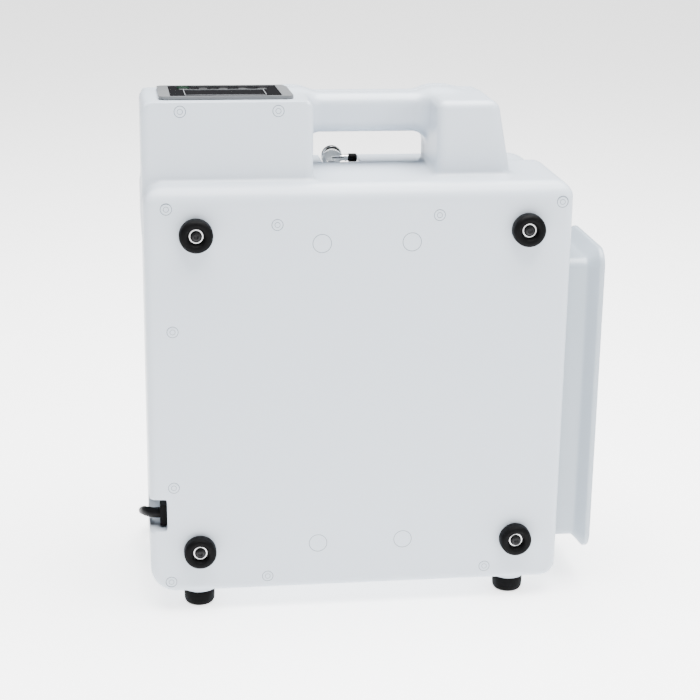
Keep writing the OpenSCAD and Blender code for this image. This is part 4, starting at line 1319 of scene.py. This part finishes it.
@dataclass
class CordRoute:
    """The mains cord's line: out of the gland, down to the floor, behind the casing and into its coil."""

    cord_radius: float = 3.2
    centre: tuple[float, float] = (-50.0, 161.0)
    inner: float = 31.7
    outer: float = 38.25
    pitch: float = 6.55
    lowest: float = 3.3
    start: float = -90.0
    step: int = 15
    turns_in: int = 3
    turns_out: float = 2.25
    change: int = 105
    lead: tuple = (
        (-157, -48.5, 73.5), (-159.5, -48.5, 73.5), (-163.2, -46.6, 73.1), (-166.2, -42.4, 72.2),
        (-167.7, -37, 70.6), (-168.2, -31, 68.4), (-168.4, -23, 65.1), (-168.4, -13, 60.9),
        (-168.4, -2, 56.4), (-168.4, 9, 51.8), (-168.4, 20, 47.3), (-168.4, 32, 42.3),
        (-168.4, 44, 37.3), (-168.4, 56, 32.3), (-168.3, 68, 27.4), (-167.2, 80, 22.4),
        (-163, 92, 17.2), (-156, 104, 12.6), (-146, 114, 9), (-133, 121, 6.3), (-118, 125.2, 4.6),
        (-102, 127.6, 3.7), (-87, 128.9, 3.3), (-70, 129.3, 3.3),
    )
    tail: tuple = ((-14.9, 179.0, 9.7), (-15.0, 185.0, 9.6))

    def turn(self, degrees: float, radius: float, height: float) -> Point:
        """A point on the coil.

        Args:
            degrees: Angle about the coil's centre.
            radius: Distance from it.
            height: Height above the floor.

        Returns:
            The point.
        """
        a = math.radians(degrees)
        return (self.centre[0] + radius * math.cos(a), self.centre[1] + radius * math.sin(a), height)

    def points(self) -> list[Point]:
        """All the points that the line passes through."""
        rows = list(self.lead)
        whole = 360 // self.step
        for k in range(self.turns_in * whole + 1):
            height = self.lowest + self.pitch * k / whole
            rows.append(self.turn(self.start + self.step * k, self.inner, height))
        top = self.lowest + self.pitch * self.turns_in
        angle = self.start + 360 * self.turns_in
        parts = self.change // self.step
        for k in range(1, parts):
            t = k / parts
            radius = self.inner + (self.outer - self.inner) * t * t * (3 - 2 * t)
            rows.append(self.turn(angle + self.step * k, radius, top + 0.4 * math.sin(math.pi * t)))
        angle += self.change
        for k in range(int((self.turns_out * 360 - self.change) / self.step) + 2):
            rows.append(self.turn(angle + self.step * k, self.outer, top - self.pitch * k / whole))
        x, y, z = rows[-1]
        return rows + [(x - 1.6, y + 6.5, z - 0.1), *self.tail]

    def line(self) -> np.ndarray:
        """The smooth line, in millimetres."""
        return smooth_route(self.points(), ROUTE_STEP)


class Mains:
    """The mains cord with its strain relief and plug."""

    def __init__(self, plug_place: Point = (-15.0, 184.5, 9.6), relief_length: float = 22.0) -> None:
        """Works out the cord's line.

        Args:
            plug_place: The end of the plug that the cord goes into.
            relief_length: Length of the sleeve at the gland.
        """
        self.plug_place, self.relief_length = plug_place, relief_length
        self.route = CordRoute()
        self.line = self.route.line()

    def cord(self) -> bpy.types.Object:
        """Makes the cord as one curve."""
        curve = bpy.data.curves.new("mains_cord", "CURVE")
        curve.dimensions = "3D"
        curve.bevel_depth = self.route.cord_radius * MM
        curve.bevel_resolution = 6
        curve.use_fill_caps = True
        spline = curve.splines.new("POLY")
        spline.points.add(len(self.line) - 1)
        for point, spot in zip(spline.points, self.line):
            point.co = (*(spot * MM), 1.0)
        spline.use_smooth = True
        made = bpy.data.objects.new("mains_cord", curve)
        bpy.context.scene.collection.objects.link(made)
        return settle(made, CORD, Body.CASING, ["cord_lead", "cord_coil"])

    def relief(self) -> bpy.types.Object:
        """Makes the tapered sleeve where the cord leaves the gland."""
        near = self.line[: int(self.relief_length / ROUTE_STEP) + 1]
        along = np.linspace(0.0, 1.0, len(near))
        radii = 3.85 - 0.5 * along
        return Piece("cord_relief").sweep(near, radii, 28).make(CORD)

    def plug(self) -> bpy.types.Object:
        """Makes the moulded plug with its two blades."""
        x, y, z = self.plug_place
        body = Piece("plug_moulding")
        sizes = [(0.0, 7.2, 7.2, 3.5), (1.0, 8.8, 8.8, 4.3), (4.0, 9.4, 9.4, 4.6), (5.0, 8.4, 8.4, 4.1),
                 (7.0, 9.8, 9.8, 4.8), (8.0, 8.8, 8.8, 4.3), (10.5, 11.0, 10.6, 5.0), (13.0, 17.0, 13.5, 5.5),
                 (16.0, 22.0, 16.5, 6.0), (20.0, 24.6, 18.2, 5.5), (26.0, 25.2, 18.9, 4.5),
                 (40.0, 25.6, 19.0, 4.0), (44.0, 25.6, 19.0, 3.4), (45.4, 25.0, 18.4, 3.2),
                 (46.0, 23.6, 17.0, 2.8)]
        rings = [rounded_ring(w, h, r, d) for d, w, h, r in sizes]
        body.loft(rings, at(x, y, z, Axis.FRONT))
        made = body.make(PLUG, Body.CASING, ["mains_plug"])
        blades = Piece("plug_blades")
        shapes = [(6.0, 1.5, 45.0), (6.0, 1.5, 62.6), (4.8, 1.0, 63.8)]
        blade = [rounded_ring(thick, wide, 0.3, far, 4) for wide, thick, far in shapes]
        for side in (-6.3, 6.3):
            blades.loft(blade, at(x + side, y, z, Axis.FRONT))
        blades.make(BRASS)
        return made

    def build(self) -> None:
        cord = self.cord()
        relief = self.relief()
        plug = self.plug()
        length = float(np.linalg.norm(np.diff(self.line, axis=0), axis=1).sum() * MM)
        LOG.info("cord length %.3f m", length)


@dataclass
class Water:
    """Water in the humidifier bottle."""

    x: float = 120.0
    y: float = -3.0
    base: float = 42.0
    level: float = 72.0

    def build(self) -> None:
        """Makes the water as a closed turned solid."""
        profile = [(24.0, 0.3), (27.2, 1.6), (27.8, 4.0), (27.85, self.level - 0.8), (27.2, self.level),
                   (8.0, self.level - 0.3)]
        Piece("bottle_water").lathe(profile, at(self.x, self.y, self.base), 64).make(WATER, Body.BOTTLE)


class CadNodes:
    """The CAD nodes that stay visible, with softened edges and their finishes."""

    SOFT: ClassVar[dict[str, float]] = {
        "panel_frame": 0.6, "panel_window": 0.3, "power_key": 0.4, "flow_up_key": 0.4, "flow_down_key": 0.4,
        "timer_key": 0.4, "mute_key": 0.4, "cord_gland": 0.7, "exhaust_grille": 0.4, "filter_cover": 0.4,
        "fan_frame": 0.6, "bottle_cradle": 0.8, "bottle_lid": 0.5, "foot_washers": 0.15, "chassis": 0.3,
        "valve_block": 0.6, "cylinder_heads": 0.8, "crankcases": 1.0, "sieve_beds": 0.5, "oxygen_tank": 0.5,
        "power_supply": 0.3, "control_board": 0.2,
    }

    def build(self) -> None:
        """Dresses every CAD node by the slot that the record gives it."""
        for row in frame["record"]["subparts"]:
            node = frame["nodes"][row["node"]]
            finish = FINISHES[row["material_slot"]]
            node.data.materials.clear()
            node.data.materials.append(finish.build())
            width = self.SOFT.get(row["node"])
            if width:
                weld = node.modifiers.new("weld", "WELD")
                weld.merge_threshold = 0.01 * MM
                bevel = node.modifiers.new("soft_edges", "BEVEL")
                bevel.width = width * MM
                bevel.segments = 2
                bevel.limit_method = "ANGLE"
                bevel.angle_limit = math.radians(40)
                bevel.harden_normals = False
            LOG.info("node %s dressed as %s", row["node"], finish.name)


# ---- the studio --------------------------------------------------------------


@dataclass
class Camera:
    """The camera, where the object's proportions put it."""

    place: Point = (-0.1797, -1.2139, 0.5586)
    yaw: float = 7.81
    pitch: float = 17.28
    roll: float = -0.79
    lens: float = 88.8

    def build(self) -> None:
        """Makes the camera and sets it as the scene's."""
        yaw, pitch, roll = (math.radians(v) for v in (self.yaw, self.pitch, self.roll))
        ahead = Vector((math.sin(yaw) * math.cos(pitch), math.cos(yaw) * math.cos(pitch), -math.sin(pitch)))
        right = Vector((math.cos(yaw), -math.sin(yaw), 0.0))
        down = ahead.cross(right)
        across = math.cos(roll) * right + math.sin(roll) * down
        under = math.cos(roll) * down - math.sin(roll) * right
        data = bpy.data.cameras.new("camera")
        data.sensor_width = 36.0
        data.lens = self.lens
        data.clip_start, data.clip_end = 0.05, 100.0
        made = bpy.data.objects.new("camera", data)
        turn = Matrix((across, -under, -ahead)).transposed()
        made.matrix_world = Matrix.Translation(self.place) @ turn.to_4x4()
        bpy.context.scene.collection.objects.link(made)
        bpy.context.scene.camera = made


@dataclass
class Lamp:
    """One soft area light."""

    name: str
    place: Point
    aim: Point
    size: float
    watts: float

    def build(self) -> None:
        """Makes the light."""
        data = bpy.data.lights.new(self.name, "AREA")
        data.shape = "SQUARE"
        data.size = self.size
        data.energy = self.watts
        made = bpy.data.objects.new(self.name, data)
        made.location = self.place
        made.rotation_mode = "QUATERNION"
        made.rotation_quaternion = (Vector(self.aim) - Vector(self.place)).to_track_quat("-Z", "Y")
        bpy.context.scene.collection.objects.link(made)


@dataclass
class Studio:
    """Pale floor, white surroundings and soft lights. The floor is measured in metres."""

    floor_side: float = 15.0
    floor_back: float = 20.0
    floor_glow: float = 2.3
    world_light: float = 0.04

    LAMPS: ClassVar[tuple] = (
        Lamp("key", (1.35, -1.35, 0.95), (0.0, 0.0, 0.2), 0.45, 12.0),
        Lamp("top", (0.1, -0.1, 1.7), (0.0, 0.0, 0.2), 1.6, 165.0),
    )

    def build(self) -> None:
        """Makes the floor, the world and the lights."""
        side, back = self.floor_side, self.floor_back
        mesh = bpy.data.meshes.new("floor")
        mesh.from_pydata([(-side, -side, 0), (side, -side, 0), (side, back, 0), (-side, back, 0)], [],
                         [(0, 1, 2, 3)])
        made = bpy.data.objects.new("floor", mesh)
        bpy.context.scene.collection.objects.link(made)
        pale = FLOOR.build()
        mesh.materials.append(pale)
        shader = next(n for n in pale.node_tree.nodes if n.type == "BSDF_PRINCIPLED")
        shader.inputs["Emission Color"].default_value = (1.0, 1.0, 1.0, 1.0)
        shader.inputs["Emission Strength"].default_value = self.floor_glow
        world = bpy.data.worlds.new("studio")
        world.use_nodes = True
        backdrop = world.node_tree.nodes["Background"]
        backdrop.inputs["Color"].default_value = (1.0, 1.0, 1.0, 1.0)
        backdrop.inputs["Strength"].default_value = self.world_light
        bpy.context.scene.world = world
        for lamp in self.LAMPS:
            lamp.build()


def main() -> None:
    """Builds the camera, the cord, the object and the studio, in that order."""
    logging.basicConfig(level=logging.INFO, format="%(name)s: %(message)s")
    parts: Iterable = (Camera(), Mains(), Casing(), Marks(), Bay(), Feet(), Outlet(), Markings(), Water(),
                       CadNodes(), Studio())
    for part in parts:
        part.build()


if __name__ == "__main__":
    main()
